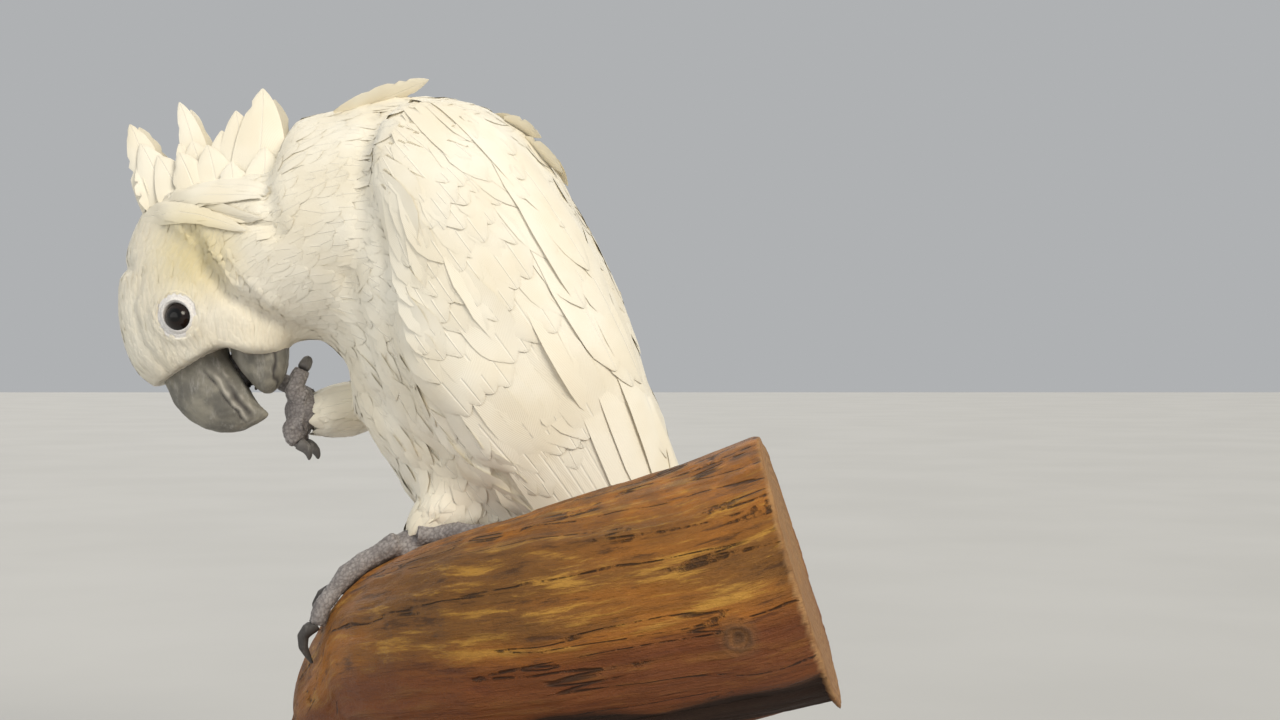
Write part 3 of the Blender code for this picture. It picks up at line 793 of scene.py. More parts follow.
# %% [markdown]
# Roots are strewn over the skin like seed and thinned, so that no two stand closer than the
# feathers there are spaced. Feathers are smallest on the face and feet and largest on the
# back. None grows in the eye's bare ring, under the wings or inside the bill or the wood.


# %% Sow the roots
def sow(count):
    """Random places on the skin, each as likely by area, and their normals."""
    corners = [[list(skin.data.vertices[i].co) for i in p.vertices] for p in skin.data.polygons]
    corners = np.array([c if len(c) == 4 else c + c[-1:] for c in corners])
    areas = np.array([p.area for p in skin.data.polygons])
    pick = rng.choice(len(areas), count, p=areas / areas.sum())
    u, v = rng.random(count)[:, None], rng.random(count)[:, None]
    a, b, c, d = (corners[pick, k] for k in range(4))
    flat = np.array([p.normal[:] for p in skin.data.polygons])
    return (a * (1 - u) + b * u) * (1 - v) + (d * (1 - u) + c * u) * v, flat[pick]


AROUND = list(product((-1, 0, 1), repeat=3))


def thinned(places, spacing):
    """Which places to keep, so that neighbours stand at least their spacing apart."""
    kept, taken = [], {}
    cell = spacing.max()
    keys = np.floor(places / cell).astype(int)
    for i, (x, y, z) in enumerate(keys):
        place, room = places[i], spacing[i] ** 2
        near = [taken.get((x + a, y + b, z + c), ()) for a, b, c in AROUND]
        if all(((place - other) @ (place - other)) >= room for group in near for other in group):
            taken.setdefault((x, y, z), []).append(place)
            kept.append(i)
    return np.array(kept, int)


def inside(tree, places, margin):
    """Which places lie within a closed surface grown by a margin."""
    answer = []
    for place in places:
        hit, normal, _, far = tree.find_nearest(Vector(place))
        answer.append((Vector(place) - hit).dot(normal) < 0 or far < margin)
    return np.array(answer)


# far more seeds than roots that are kept
seeds, seed_ups = sow(90000)
seed_station, _ = station_and_way(seeds)
body_tree = surface("trunk", "neck", "head")
bill_tree = surface("upper_bill", "lower_bill")
wood_tree = surface("perch_branch")
print("sown", len(seeds), "places")

# %% Choose the roots
legs_here = {
    leg: 1 - ease(reach(tree, seeds), 1.8 * MM, 4 * MM) for leg, tree in leg_trees.items()
}
on_leg = np.minimum(sum(legs_here.values()), 1)
on_arm = (reach(arm_tree, seeds) < 2.2 * MM) & (reach(body_tree, seeds) > 0.4 * MM)
from_eye = np.minimum(*(np.linalg.norm(seeds - centre, axis=1) for centre in LIDS.values()))
free = (from_eye > BARE_RING) & ~on_arm & ~inside(bill_tree, seeds, 1.5 * MM)
free &= ~inside(wood_tree, seeds, 1.2 * MM)

# length, half width and spacing of the feathers at some stations, in millimetres
COAT = np.array(
    [
        (0, 5.0, 1.0, 1.5),
        (30, 6.0, 1.2, 1.7),
        (55, 8.0, 1.8, 2.1),
        (75, 12, 2.8, 3.2),
        (100, 17, 3.7, 4.1),
        (140, 22, 4.9, 5.0),
        (200, 26, 5.8, 5.7),
        (320, 27, 6.0, 5.9),
        (440, 25, 6.0, 6.2),
    ]
)
length, half, spacing = (
    np.interp(seed_station, COAT[:, 0], COAT[:, k]) * MM for k in (1, 2, 3)
)
length = length * (1 - on_leg) + 13 * MM * on_leg
half = half * (1 - on_leg) + 3.7 * MM * on_leg
spacing = spacing * (1 - on_leg) + 3.4 * MM * on_leg
chosen = np.flatnonzero(free)
order = chosen[np.argsort(spacing[chosen], kind="stable")]
# thinned in bands of like spacing, the closest first
edges = np.array([0, 1.9, 3.2, 5, 7, 20]) * MM
bands = [order[(spacing[order] >= a) & (spacing[order] < b)] for a, b in pairwise(edges)]
roots_at = np.concatenate([band[thinned(seeds[band], spacing[band])] for band in bands if len(band)])
print(len(roots_at), "roots kept")

# %% Lay the coat
places, ups_at = seeds[roots_at], seed_ups[roots_at]
station, length, half = seed_station[roots_at], length[roots_at], half[roots_at]
on_leg = on_leg[roots_at]
ways = lay(places, ups_at, {leg: near[roots_at] for leg, near in legs_here.items()})
wander = np.radians(np.interp(station, [0, 60, 110, 300], [7, 8, 8, 6])) * rng.normal(size=len(ways))
ways = ways * np.cos(wander)[:, None] + np.cross(ups_at, ways) * np.sin(wander)[:, None]
coat_depth = np.interp(station, [0, 35, 70, 120, 300], [0.22, 0.30, 0.50, 0.65, 0.75]) * MM
coat_depth = (coat_depth * (1 - on_leg) + 1.1 * MM * on_leg) * rng.uniform(0.75, 1.15, len(ways))
length = length * rng.uniform(0.85, 1.15, len(ways))
lines, ups = walk(skin_bed, places, ways, length, "small", 0.1 * coat_depth, coat_depth)
near_eye = np.min([np.linalg.norm(lines - c, axis=2).min(1) for c in LIDS.values()], axis=0)
in_wood = inside(wood_tree, lines[:, -1], 0.2 * MM)
in_bill = inside(bill_tree, lines[:, -1], 0.1 * MM) | inside(bill_tree, lines[:, 2], 0.1 * MM)
good = (near_eye > BARE_RING - 0.3 * MM) & ~in_wood & ~in_bill
zones = {"face": (0, 62), "nape": (62, 120), "breast": (120, 200), "belly": (200, 999)}
for zone, (first, last) in zones.items():
    mine = np.flatnonzero(good & (station >= first) & (station < last))
    cup = droop(skin_bed, lines[mine], ups[mine], half[mine], 0.4)
    roll = rng.normal(size=len(mine)) * 0.025 * half[mine]
    weave("coat_" + zone, "small", lines[mine], ups[mine], half[mine], cup=cup, roll=roll)

# %% [markdown]
# A folded wing is a hand of long quills under rows of shorter ones. Its places are easiest to
# give as a station down the wing, s, and a share across it, b, from its front edge to its back
# edge. Each place is found by looking straight at the bird's side and landing on the wing.

# %% The wing's own measures
# stations of the seven places that give each border, and fine steps between two of them
WING_S = [4.35, 6, 8, 10, 12, 14, 15.2]
UPPER = [(-20, 223), (17, 203), (57, 141), (82, 75), (94, 21), (107, -31), (114, -60)]
LOWER = [(-38, 175), (-28, 128), (2, 90), (37, 50), (70, 9), (95, -37), (108, -64)]
STEPS = 20
borders = [curve_through(border, STEPS * (len(WING_S) - 1) + 1) for border in (LOWER, UPPER)]

wing_beds = {}
for side in SIDES:
    names = [f"wing_{side}_{part}" for part in ("coverts", "secondaries", "primaries")]
    bm = melted(merged_copy(*names), 1.5 * MM, 8)
    places, normals = places_of(bm)
    put(bm, places + normals * (folded(places, normals) * 0.8)[:, None])
    wing_beds[side] = BVHTree.FromBMesh(bm)
    bm.free()


def on_wing(side, s, b):
    """The place on a wing's outside at station s and share b, and the way it faces."""
    step = np.interp(s, WING_S, range(len(WING_S))) * STEPS
    low, high = ([np.interp(step, range(len(c)), c[:, k]) for k in (0, 1)] for c in borders)
    x, z = (low[k] * (1 - b) + high[k] * b for k in (0, 1))
    sign = SIDES[side]
    hit, normal, _, _ = wing_beds[side].ray_cast(Vector(at(x, 150 * sign, z)), Vector((0, -sign, 0)))
    missed = hit is None
    if missed or normal.y * sign < 0.2:
        hit, normal, _, _ = wing_beds[side].find_nearest(Vector(at(x, 48 * sign, z)))
    return hit, normal, missed


def quills(side, kind, rows, foot, tip, half):
    """Lines and ups of feathers from (s, b) to (s, b), foot and tip above the wing."""
    shares = SHAPES[kind][0]
    lines, ups = np.empty((len(rows), len(shares), 3)), np.empty((len(rows), len(shares), 3))
    misses = np.zeros(len(rows))
    for i, (s0, b0, s1, b1) in enumerate(rows):
        for k, t in enumerate(shares):
            lines[i, k], ups[i, k], missed = on_wing(side, s0 + (s1 - s0) * t, b0 + (b1 - b0) * t)
            misses[i] += missed
    # a quill that hangs off the wing's edge for much of its length is left out
    landed = misses <= len(shares) * 0.3
    lines, ups = lines[landed], ups[landed]
    for _ in range(2):
        ups[:, 1:-1] = (ups[:, :-2] + ups[:, 1:-1] + ups[:, 2:]) / 3
        lines[:, 1:-1] = (lines[:, :-2] + lines[:, 1:-1] * 2 + lines[:, 2:]) / 4
    ups = unit(ups)
    half = np.full(len(lines), half * MM)
    cup = droop(wing_beds[side], lines, ups, half, 0.9)
    lines += ups * ((foot + (tip - foot) * shares) * MM)[None, :, None]
    return lines, ups, half, cup


# %% [markdown]
# The wing is laid from the bottom up, as a roof is: primaries, secondaries, the three broad
# tertials that cover them, greater, median and lesser coverts, and last the scapulars, which
# hide the seam between wing and back. Every quill's front edge lies over the next one, so each
# vane is rolled a little, and the tips step down the wing in a gentle saw-tooth.


# %% Lay both wings
def fan(s_from, s_to, b_from, b_to, count, reach_s, lean=0.0, jitter=0.04):
    """A row of feathers: roots from one (s, b) to another, tips reach_s further down."""
    share = np.linspace(0, 1, count)
    s = s_from + (s_to - s_from) * share + rng.normal(size=count) * jitter
    b = b_from + (b_to - b_from) * share
    reaches = np.atleast_1d(reach_s)
    reaches = np.interp(share, np.linspace(0, 1, len(reaches)), reaches)
    tip_s = s + reaches + rng.normal(size=count) * jitter * 1.5
    return np.column_stack([s, b, tip_s, b + lean])


for side, sign in SIDES.items():
    # each: its fan, foot and tip above the wing, and half width
    rows = {
        "primaries": (fan(9.5, 10.4, 0.2, 0.9, 8, (3.0, 4.7), 0.05), -1.2, -0.75, 9.5),
        "secondaries": (fan(7.6, 8.0, 0.08, 0.92, 11, (4.0, 4.3), 0.03), -1.0, -0.55, 10.5),
        "tertials": (fan(7.4, 7.2, 0.62, 0.97, 4, (3.7, 3.9), 0.03), -0.8, -0.4, 13),
        "greater": (fan(6.9, 7.0, 0.08, 0.97, 11, (2.1, 2.2), 0.02), -0.75, -0.3, 10.5),
        "median": (fan(6.1, 6.1, 0.08, 1.0, 12, 1.75, 0.01), -0.6, -0.15, 9.5),
    }
    for part, (row, foot, tip, half) in rows.items():
        lines, ups, half, cup = quills(side, "broad", row, foot, tip, half)
        roll = sign * 0.007 * half
        replaced = [f"wing_{side}_{part}"] if part in ("primaries", "secondaries") else []
        weave(f"{side}_{part}", "broad", lines, ups, half, *replaced, thick=0.1, cup=cup, roll=roll)
    small = [
        fan(s, s, 0.05 + 0.04 * (i % 2), 0.98 + 0.04 * (i % 2), 13, 1.25, 0.0, 0.06)
        for i, s in enumerate(np.arange(4.45, 6.2, 0.3))
    ]
    lines, ups, half, cup = quills(side, "small", np.concatenate(small), -0.45, 0.0, 7.5)
    roll = rng.normal(size=len(half)) * 0.025 * half
    weave(f"{side}_lesser", "small", lines, ups, half, f"wing_{side}_coverts", cup=cup, roll=roll)
    back = [fan(s, s + 0.3, 0.86, 1.03, 4, 2.2, 0.0, 0.08) for s in (4.5, 5.2, 5.9, 6.6)]
    lines, ups, half, cup = quills(side, "broad", np.concatenate(back), -0.3, 0.15, 9.5)
    weave(f"{side}_scapulars", "broad", lines, ups, half, cup=cup, roll=sign * 0.03 * half)

# %% [markdown]
# The crest is half raised and fanned: long blades rise from a line along the crown, the hind
# ones upright and the front ones leaning over the brow. They overlap into one sheet at their
# feet and part into three points at the top. A table gives each blade's root, tip, half width
# and how far it is turned from facing sideways. A few loose feathers of nape and back that
# stand out of the coat are set in the same way.


# %% Crest
def arc(root, tip, bow, shares):
    """A line of places from root to tip that bulges by bow."""
    t = shares[:, None]
    return root * (1 - t) + tip * t + bow * (4 * t * (1 - t))


def turned(line, way):
    """How each step of a line faces: across the line, and as near as that allows to a way."""
    ahead = unit(np.gradient(line, axis=0))
    return unit(way - ahead * (ahead @ way)[:, None])


def blades(table):
    """Lines, ups and half widths of feathers that stand free of the skin."""
    lines, ups, halves = [], [], []
    for root, tip, half, turn in table:
        root, tip = at(*root), at(*tip)
        shaft = unit(tip - root)
        outward = np.array([0.0, 1.0 if root[1] > DATUM[1] else -1.0, 0.0])
        outward = unit(outward - shaft * (outward @ shaft))
        turn = math.radians(turn)
        face = outward * math.cos(turn) + np.cross(shaft, outward) * math.sin(turn)
        bow = np.array([0.6, 0.0, 0.8]) * 0.05 + face * 0.05
        lines.append(arc(root, tip, bow * np.linalg.norm(tip - root), FINE_ROWS))
        ups.append(turned(lines[-1], face))
        halves.append(half * MM)
    return np.array(lines), np.array(ups), np.array(halves)


# root, tip, half width in millimetres, and turn in degrees
CREST_BLADES = [
    ((-124, -4, 172), (-135.5, -2, 212), 7.0, 14),
    ((-117, -8, 170), (-130.5, -5, 204), 8.0, 10),
    ((-109, -10, 168), (-123, -7, 199), 8.5, 8),
    ((-102, -12, 166), (-114, -10, 200), 9.0, 5),
    ((-106, -3, 176), (-116, -1, 221), 5.5, 16),
    ((-103, -7, 172), (-110, -5, 205), 8.5, 12),
    ((-97, -11, 168), (-103, -9, 203), 9.0, 8),
    ((-95, -8, 170), (-98, -6, 209), 9.5, 10),
    ((-91, -7, 172), (-92.5, -5, 217), 9.0, 10),
    ((-87, -9, 168), (-82, -4, 226), 10.5, 8),
    ((-83, -12, 165), (-80, -10, 202), 9.0, 6),
    ((-92, -13, 165), (-93, -12, 196), 9.5, 5),
]
count = len(CREST_BLADES)
far_blades = [
    ((x + 2, -y, z), (tx + dx, -ty, tz + dz), half, turn)
    for ((x, y, z), (tx, ty, tz), half, turn), dx, dz in zip(
        CREST_BLADES, rng.uniform(-3, 4, count), rng.uniform(-5, 0, count)
    )
]
middle_blades = [
    ((x + rng.uniform(-2, 2), y, 176), (tx + rng.uniform(-2, 2), y * 0.9, tz - abs(y) * 0.7), 7.5, turn)
    for x, tx, tz in (
        (-121, -131, 200), (-112, -123, 195), (-106, -115, 208),
        (-97, -108, 201), (-93, -99, 204), (-89, -91, 211), (-84, -84, 212),
    )
    for y, turn in ((-6, 40), (-2, 75), (2.5, 80), (6.5, 45), (10.5, 25))
]
lines, ups, halves = blades(CREST_BLADES + far_blades + middle_blades)
cup = halves[:, None] * rng.uniform(-0.22, -0.06, (len(halves), 2))
crest_nodes = [name for name in nodes if name.startswith("crest_")]
weave("crest", "plume", lines, ups, halves, *crest_nodes, thick=0.25, cup=cup, ragged=0.3)

# %% Locks of the crown
# long side feathers sweep back under the crest, over the feet of its blades
locks, lock_ways = [], []
for side in SIDES.values():
    for share in np.linspace(0, 1, 7):
        start = at(-131 + 27 * share, side * (9 + 4 * share), 175 + 7 * share)
        locks.append(np.array(skin_bed.find_nearest(Vector(start))[0]))
        lock_ways.append(unit(at(-76 + 6 * share, side * 18, 163 + 9 * share) - start))
lock_long = np.array([52, 50, 47, 44, 41, 38, 35] * 2) * MM
feet, tips = np.full(len(locks), 0.6 * MM), rng.uniform(1.5, 2.4, len(locks)) * MM
lines, ups = walk(skin_bed, locks, lock_ways, lock_long, "plume", feet, tips)
halves = np.full(len(locks), 4.2 * MM)
cup = droop(skin_bed, lines, ups, halves, 0.5)
weave("crown_locks", "plume", lines, ups, halves, thick=0.2, cup=cup, ragged=0.2)

# %% Loose feathers
LOOSE = [
    ((-52, -9, 214), (-15.6, -7, 229), 6.5, 55),
    ((14, -6, 213), (29, -7, 206), 5.5, 60),
    ((22, -9, 205), (37.5, -9, 192), 5.5, 60),
    ((27, 4, 203), (39, 5, 188), 5.0, 60),
    ((8, 6, 216), (24, 7, 210), 5.0, 60),
]
lines, ups, halves = blades(LOOSE)
cup = halves[:, None] * [-0.15, -0.15]
weave("loose_feathers", "plume", lines, ups, halves, thick=0.2, cup=cup, ragged=0.3)

# %% [markdown]
# The leg's feathers end in a loose cuff over the bare foot. Two rings of small feathers hang
# round each leg, from a circle on it to a narrower one further down.


# %% Cuffs of the legs
def cuff(start, end, narrow, wide, count, half):
    """A ring of feathers round a leg that hangs over the bare foot."""
    start, end = at(*start), at(*end)
    axis = unit(end - start)
    one = unit(np.cross(axis, (0.3, 0.9, 0.2)))
    other = np.cross(axis, one)
    lines, ups = [], []
    for turn in np.linspace(0, math.tau, count, endpoint=False) + rng.uniform(-0.12, 0.12, count):
        radial = one * math.cos(turn) + other * math.sin(turn)
        root = start + radial * narrow * MM
        tip = end + radial * wide * MM + axis * rng.uniform(-3, 2) * MM
        lines.append(arc(root, tip, radial * 1.3 * MM, SMALL[0]))
        ups.append(turned(lines[-1], radial))
    return np.array(lines), np.array(ups), np.full(count, half * MM)


rings = [
    cuff((-46, 15, 99), (-63, 10, 95.5), 10.5, 9.0, 20, 4.2),
    cuff((-50, 14, 98), (-66, 9, 95.5), 9.5, 7.5, 18, 4.0),
    cuff((-5, -23, 63), (-16, -26, 51), 10.5, 7.5, 18, 3.8),
    cuff((-9, -24, 59), (-18, -26.5, 48.5), 9.0, 6.5, 16, 3.5),
]
lines, ups, halves = (np.concatenate(group) for group in zip(*rings))
cup = halves[:, None] * [-0.25, -0.25]
weave("leg_cuffs", "small", lines, ups, halves, thick=0.16, cup=cup, ragged=0.2)

# %% [markdown]
# Twelve quills make the tail. They fan from the rump, the middle pair on top and each next one
# a little lower and further out. Short coverts hide their roots above and below. The spread of
# the solid's corners says where the tail starts and ends, how broad it is and how it faces.

# %% Tail
corners = np.array([v.co[:] for v in nodes["tail"].data.vertices])
middle = corners.mean(0)
axes = np.linalg.svd(corners - middle)[2]
down = axes[0] * -np.sign(axes[0][2])
spans = (corners - middle) @ down
root, tip = middle + down * spans.min(), middle + down * spans.max()
half = np.abs((corners - middle) @ axes[1]).max()
shaft = tip - root
face = axes[2] * np.sign(axes[2][0])
aside = np.array([0.0, 1.0, 0.0])
lines, ups = [], []
for out in np.linspace(-1, 1, 12):
    lift = (1.0 - 2.0 * abs(out)) * MM
    start = root + aside * out * 8 * MM + face * lift
    end = root + shaft * (1 - 0.10 * abs(out) ** 1.5) + aside * out * (half - 9 * MM) + face * lift
    lines.append(arc(start, end, aside * out * 3 * MM, BROAD_ROWS))
    ups.append(np.tile(unit(face + aside * out * 0.05), (len(BROAD_ROWS), 1)))
halves = np.full(len(lines), 9.0 * MM)
weave("tail_quills", "broad", np.array(lines), np.array(ups), halves, "tail", thick=0.3)
lines, ups = [], []
for facing, sweep in ((face, 0.42), (-face, 0.5)):
    for out in np.linspace(-1, 1, 9):
        reach_on = sweep * (1 - 0.25 * abs(out)) * rng.uniform(0.9, 1.1)
        start = root - shaft * 0.06 + aside * out * 10 * MM + facing * 1.6 * MM
        end = root + shaft * reach_on + aside * out * 17 * MM + facing * 2.4 * MM
        lines.append(arc(start, end, facing * 2.0 * MM, BROAD_ROWS))
        ups.append(np.tile(facing, (len(BROAD_ROWS), 1)))
halves = np.full(len(lines), 8.5 * MM)
weave("tail_coverts", "broad", np.array(lines), np.array(ups), halves, thick=0.25)

# %% [markdown]
# A cockatoo's bill is grey horn under a coat of its own white powder. Growth leaves fine ridges
# that follow its base, the cutting edges flake into paler chips, and cracks run in from them.
# The solid is melted to a fine even mesh, and ridges, chips and cracks are pressed into it. The
# cracks are also painted near black, as painted shade inside them.


# %% Bill finish
def horn_finish(name, dark, pale, powder):
    finish = Finish(name, Roughness=0.5, Specular_IOR_Level=0.4)
    place = finish.place()
    cloud = finish.noise(place, 90.0, 4.0, 0.6)
    streak = finish.noise(place, 420.0, 4.0, 0.65, squeeze=(1, 1, 0.3))
    colour = finish.mix(cloud.rise(0.32, 0.68), dark, pale)
    colour = finish.mix(streak.rise(0.5, 0.78) * powder, colour, rgb(0.50, 0.49, 0.47))
    # cracks painted near black: painted shade inside them
    colour = finish.mix(finish.fact("crack"), colour, rgb(0.055, 0.05, 0.05))
    colour = finish.mix(finish.fact("flake"), colour, rgb(0.44, 0.42, 0.38))
    height = streak + finish.noise(place, 1900.0, 3.0) * 0.5
    rough = 0.42 + cloud * 0.35
    return finish.feed(
        Base_Color=colour, Roughness=rough, Normal=finish.relief(height, 0.00022, 0.45)
    )


HORN = horn_finish("bill horn", rgb(0.15, 0.145, 0.13), rgb(0.30, 0.285, 0.24), 0.45)

# %% Bill
# the face's feathers end on a line through one place: slanting in front of it, level behind
JAW = np.array([-97.0, 0.0, 122.3])
BROW_FACING = np.array([-0.502, 0.0, 0.865])
for node in ("upper_bill", "lower_bill"):
    bm = melted(merged_copy(node), 0.55 * MM, 3)
    places, normals = places_of(bm)
    own = (places - DATUM) / MM
    # ridges follow the bill's base, as nails do
    ridge = np.sin(np.linalg.norm(places - BILL_ROOT, axis=1) / (1.7 * MM) * math.tau)
    ridge = ridge * (0.5 + cloudy(places, 6 * MM, 3.0)) * 0.07
    lumps = cloudy(places, 5 * MM) * 0.22 + cloudy(places, 1.8 * MM, 9.0) * 0.08
    if node == "upper_bill":
        across = own[:, 0] * 0.82 + own[:, 2] * 0.57 + 0.9 * cloudy(places, 4 * MM, 5.0)
        crack = hump(across, -19.8, 0.4) + hump(across, -16.2, 0.8)
        crack = crack * ease(cloudy(places, 6 * MM, 1.0), -0.5, 0.0)
        flake = hump(across, -18.2, 0.6) + hump(across, -14.6, 0.5)
        worn = ease(np.abs(own[:, 1]), 3, 6) * (1 - ease(own[:, 2], 110, 116))
        crack, flake = crack * worn, flake * worn * ease(cloudy(places, 4 * MM, 6.0), -0.4, 0.2)
    else:
        across = own[:, 0] + 1.5 * cloudy(places, 4 * MM, 5.0)
        crack = hump(across, -76.5, 0.7) * ease(cloudy(places, 9 * MM, 2.0), -0.4, 0.1)
        flake = 0.6 * hump(across, -90, 2.2)
    depth = 0.25 + ridge + lumps - 0.55 * np.clip(crack, 0, 1)
    # the horn runs on under the feathers of the face
    to_face = np.where(own[:, 0] < JAW[0], -((own - JAW) @ BROW_FACING), JAW[2] - own[:, 2])
    hidden = 6.0 * (1 - ease(to_face, 0.4, 3.4))
    root_way = np.where((own[:, 0] < JAW[0])[:, None], BROW_FACING, np.array([0.0, 0.0, 1.0]))
    put(bm, places + normals * (depth * MM)[:, None] + root_way * (hidden * MM)[:, None])
    obj = piece("horn_" + node, bm, HORN, node)
    with_facts(obj, crack=np.clip(crack, 0, 1), flake=np.clip(flake, 0, 1))

# %% [markdown]
# Between the two halves of the bill a near-black line shows: the mouth's dark inside, painted
# near black as shade in the gap. It is made by melting both halves together across their gap and
# letting the result sink inside them.

# %% Mouth lining, painted shade between the bill halves
bm = melted(merged_copy("upper_bill", "lower_bill"), 0.7 * MM, 6, grow=1.3 * MM)
places, normals = places_of(bm)
places = places - normals * 1.2 * MM
heart = places.mean(0)
put(bm, heart + (places - heart) * np.array([0.95, 0.72, 0.95]))
LINING_AND_SHADE = Finish("mouth lining and shade", Roughness=0.55)
shade = LINING_AND_SHADE.noise(LINING_AND_SHADE.place(), 500.0).rise(0.3, 0.7)
# near black: the mouth's dark inside and painted shade in the gap
LINING_AND_SHADE.feed(Base_Color=LINING_AND_SHADE.mix(shade, rgb(0.020, 0.017, 0.016), rgb(0.05, 0.042, 0.04)))
piece("mouth_lining_and_shade", bm, LINING_AND_SHADE.material)

# %% [markdown]
# The eyeball is a glossy ball. In this species it looks black, but close up there is a narrow
# dark brown iris round the pupil. A clear coat gives the wet highlight.


# %% Eyes
def eye_finish():
    finish = Finish(
        "wet eye", Roughness=0.2, Specular_IOR_Level=0.2, Coat_Weight=0.5, Coat_Roughness=0.03, Coat_IOR=1.35
    )
    x, _, z = finish.parts(finish.place())
    east, north = x - float(LIDS["left"][0]), z - float(LIDS["left"][2])
    radius = (east * east + north * north) ** 0.5
    streaks = finish.noise(finish.place(), 2600.0, 3.0, squeeze=(1, 0.2, 1))
    iris = finish.mix(streaks.rise(0.3, 0.7), rgb(0.006, 0.003, 0.0025), rgb(0.017, 0.009, 0.007))
    colour = finish.mix(radius.rise(2.4 * MM, 2.9 * MM), rgb(0.002, 0.002, 0.002), iris)
    colour = finish.mix(radius.rise(4.6 * MM, 5.3 * MM), colour, rgb(0.006, 0.005, 0.005))
    return finish.feed(Base_Color=colour)


EYE = eye_finish()
for side, centre in EYES.items():
    bm = bmesh.new()
    bmesh.ops.create_uvsphere(bm, u_segments=48, v_segments=32, radius=EYE_RADIUS)
    for vert in bm.verts:
        # the clear front bulges a little beyond the ball
        facing = max(vert.co.y * SIDES[side] / EYE_RADIUS, 0.0)
        vert.co *= 1 + 0.05 * float(ease(facing, 0.75, 1.0))
    bmesh.ops.translate(bm, vec=centre, verts=bm.verts)
    piece("eyeball_" + side, bm, EYE, "eye_" + side)

# %% [markdown]
# A parrot's foot has two toes in front and two behind, in loose grey skin covered with small
# round scales. Shank and toes are melted into one foot, so that the skin runs unbroken over
# the joints, and the scales are pressed in as geometry, with finer wrinkles left to the
# finish. Claws are horn, each a smooth melted copy, and those of the raised foot are paler.


# %% Foot finish
def foot_finish():
    finish = Finish("foot skin", Roughness=0.62, Specular_IOR_Level=0.35)
    place = finish.place()
    seam = 1 - finish.fact("scale")
    cloud = finish.noise(place, 120.0, 4.0)
    colour = finish.mix(cloud.rise(0.3, 0.7), rgb(0.235, 0.215, 0.215), rgb(0.36, 0.335, 0.33))
    colour = finish.mix(seam * 0.65, colour, rgb(0.13, 0.115, 0.115))
    dust = finish.noise(place, 800.0, 4.0).rise(0.48, 0.75)
    colour = finish.mix(dust * 0.4, colour, rgb(0.52, 0.50, 0.48))
    creases = finish.from_edges(place, 2600.0).rise(0.0, 0.3)
    return finish.feed(Base_Color=colour, Normal=finish.relief(creases, 0.00016, 0.5))


FOOT = foot_finish()
CLAWS = {
    "left": horn_finish("claw horn", rgb(0.035, 0.032, 0.032), rgb(0.085, 0.078, 0.074), 0.15),
    "right": horn_finish("pale claw horn", rgb(0.10, 0.095, 0.094), rgb(0.19, 0.18, 0.175), 0.4),
}

# %% Feet
# the middle of each sole, where a ball joins shank and toes
SOLES = {"left": at(-20, -27, 45.5), "right": at(-68, 8, 97.5)}
DIGITS = [f"{inner}_{front}" for inner in ("inner", "outer") for front in ("front", "back")]
for side in SIDES:
    parts = [f"shank_{side}"] + [f"toe_{side}_{digit}" for digit in DIGITS]
    bm = merged_copy(*parts)
    sole = bmesh.ops.create_icosphere(bm, subdivisions=3, radius=7.2 * MM)
    bmesh.ops.translate(bm, vec=SOLES[side], verts=sole["verts"])
    bm = melted(bm, 0.5 * MM, 16, grow=0.8 * MM)
    places, normals = places_of(bm)
    gaps = []
    for place in places:
        near = noise.voronoi(Vector(place) / (1.5 * MM))[0]
        gaps.append(near[1] - near[0])
    scale = ease(np.array(gaps), 0.03, 0.30)
    knuckles = cloudy(places, 5 * MM) * 0.35
    # the raised foot is relaxed and a little fuller than the one that grips
    full = 0.65 if side == "right" else 0.45
    put(bm, places + normals * ((scale * 0.22 - 0.14 + knuckles + full) * MM)[:, None])
    foot = piece("foot_" + side, bm, FOOT, *parts)
    with_facts(foot, scale=scale)
    for digit in DIGITS:
        node = f"claw_{side}_{digit}"
        bm = melted(merged_copy(node), 0.35 * MM, 3)
        places, normals = places_of(bm)
        put(bm, places + normals * 0.35 * MM)
        claw = piece("horn_" + node, bm, CLAWS[side], node)
        zero = np.zeros(len(claw.data.vertices))
        with_facts(claw, crack=zero, flake=zero)

# %% [markdown]
# The perch is an old limb without its bark: orange-brown, polished by feet, with the grain
# flowing along it and round its knots. Wood is solid, so its finish is too: each corner of the
# mesh stores where it lay in the limb before it bent, the growth rings are rings in that
# space, and the surface cuts them into flowing lines on the flank and circles on the sawn end.

# %% The limb before it bent
# the line through its middle
LIMB = [(-64, 16, -35), (-50, 6, -25), (-33, -12, -11), (-15, -30, 2.5), (6, -62, 13)]
LIMB += [(38, -94, 23), (80, -112, 35), (122, -118, 48)]
limb = curve_through(LIMB, 300)
limb_way, limb_along = along_curve(limb)


def unbent(places):
    """Each place in the straight limb: two measures across it and one along it, in metres."""
    own = (places - DATUM) / MM
    nearest = np.array([((limb - p) ** 2).sum(1).argmin() for p in own])
    way, off = limb_way[nearest], own - limb[nearest]
    along = (off * way).sum(1)
    off = off - way * along[:, None]
    up = unit(np.array([0.0, 0.0, 1.0]) - way * way[:, 2:])
    aside = np.cross(way, up)
    return np.column_stack([(off * aside).sum(1), (off * up).sum(1), limb_along[nearest] + along]) * MM


print("limb of", round(limb_along[-1]), "mm")


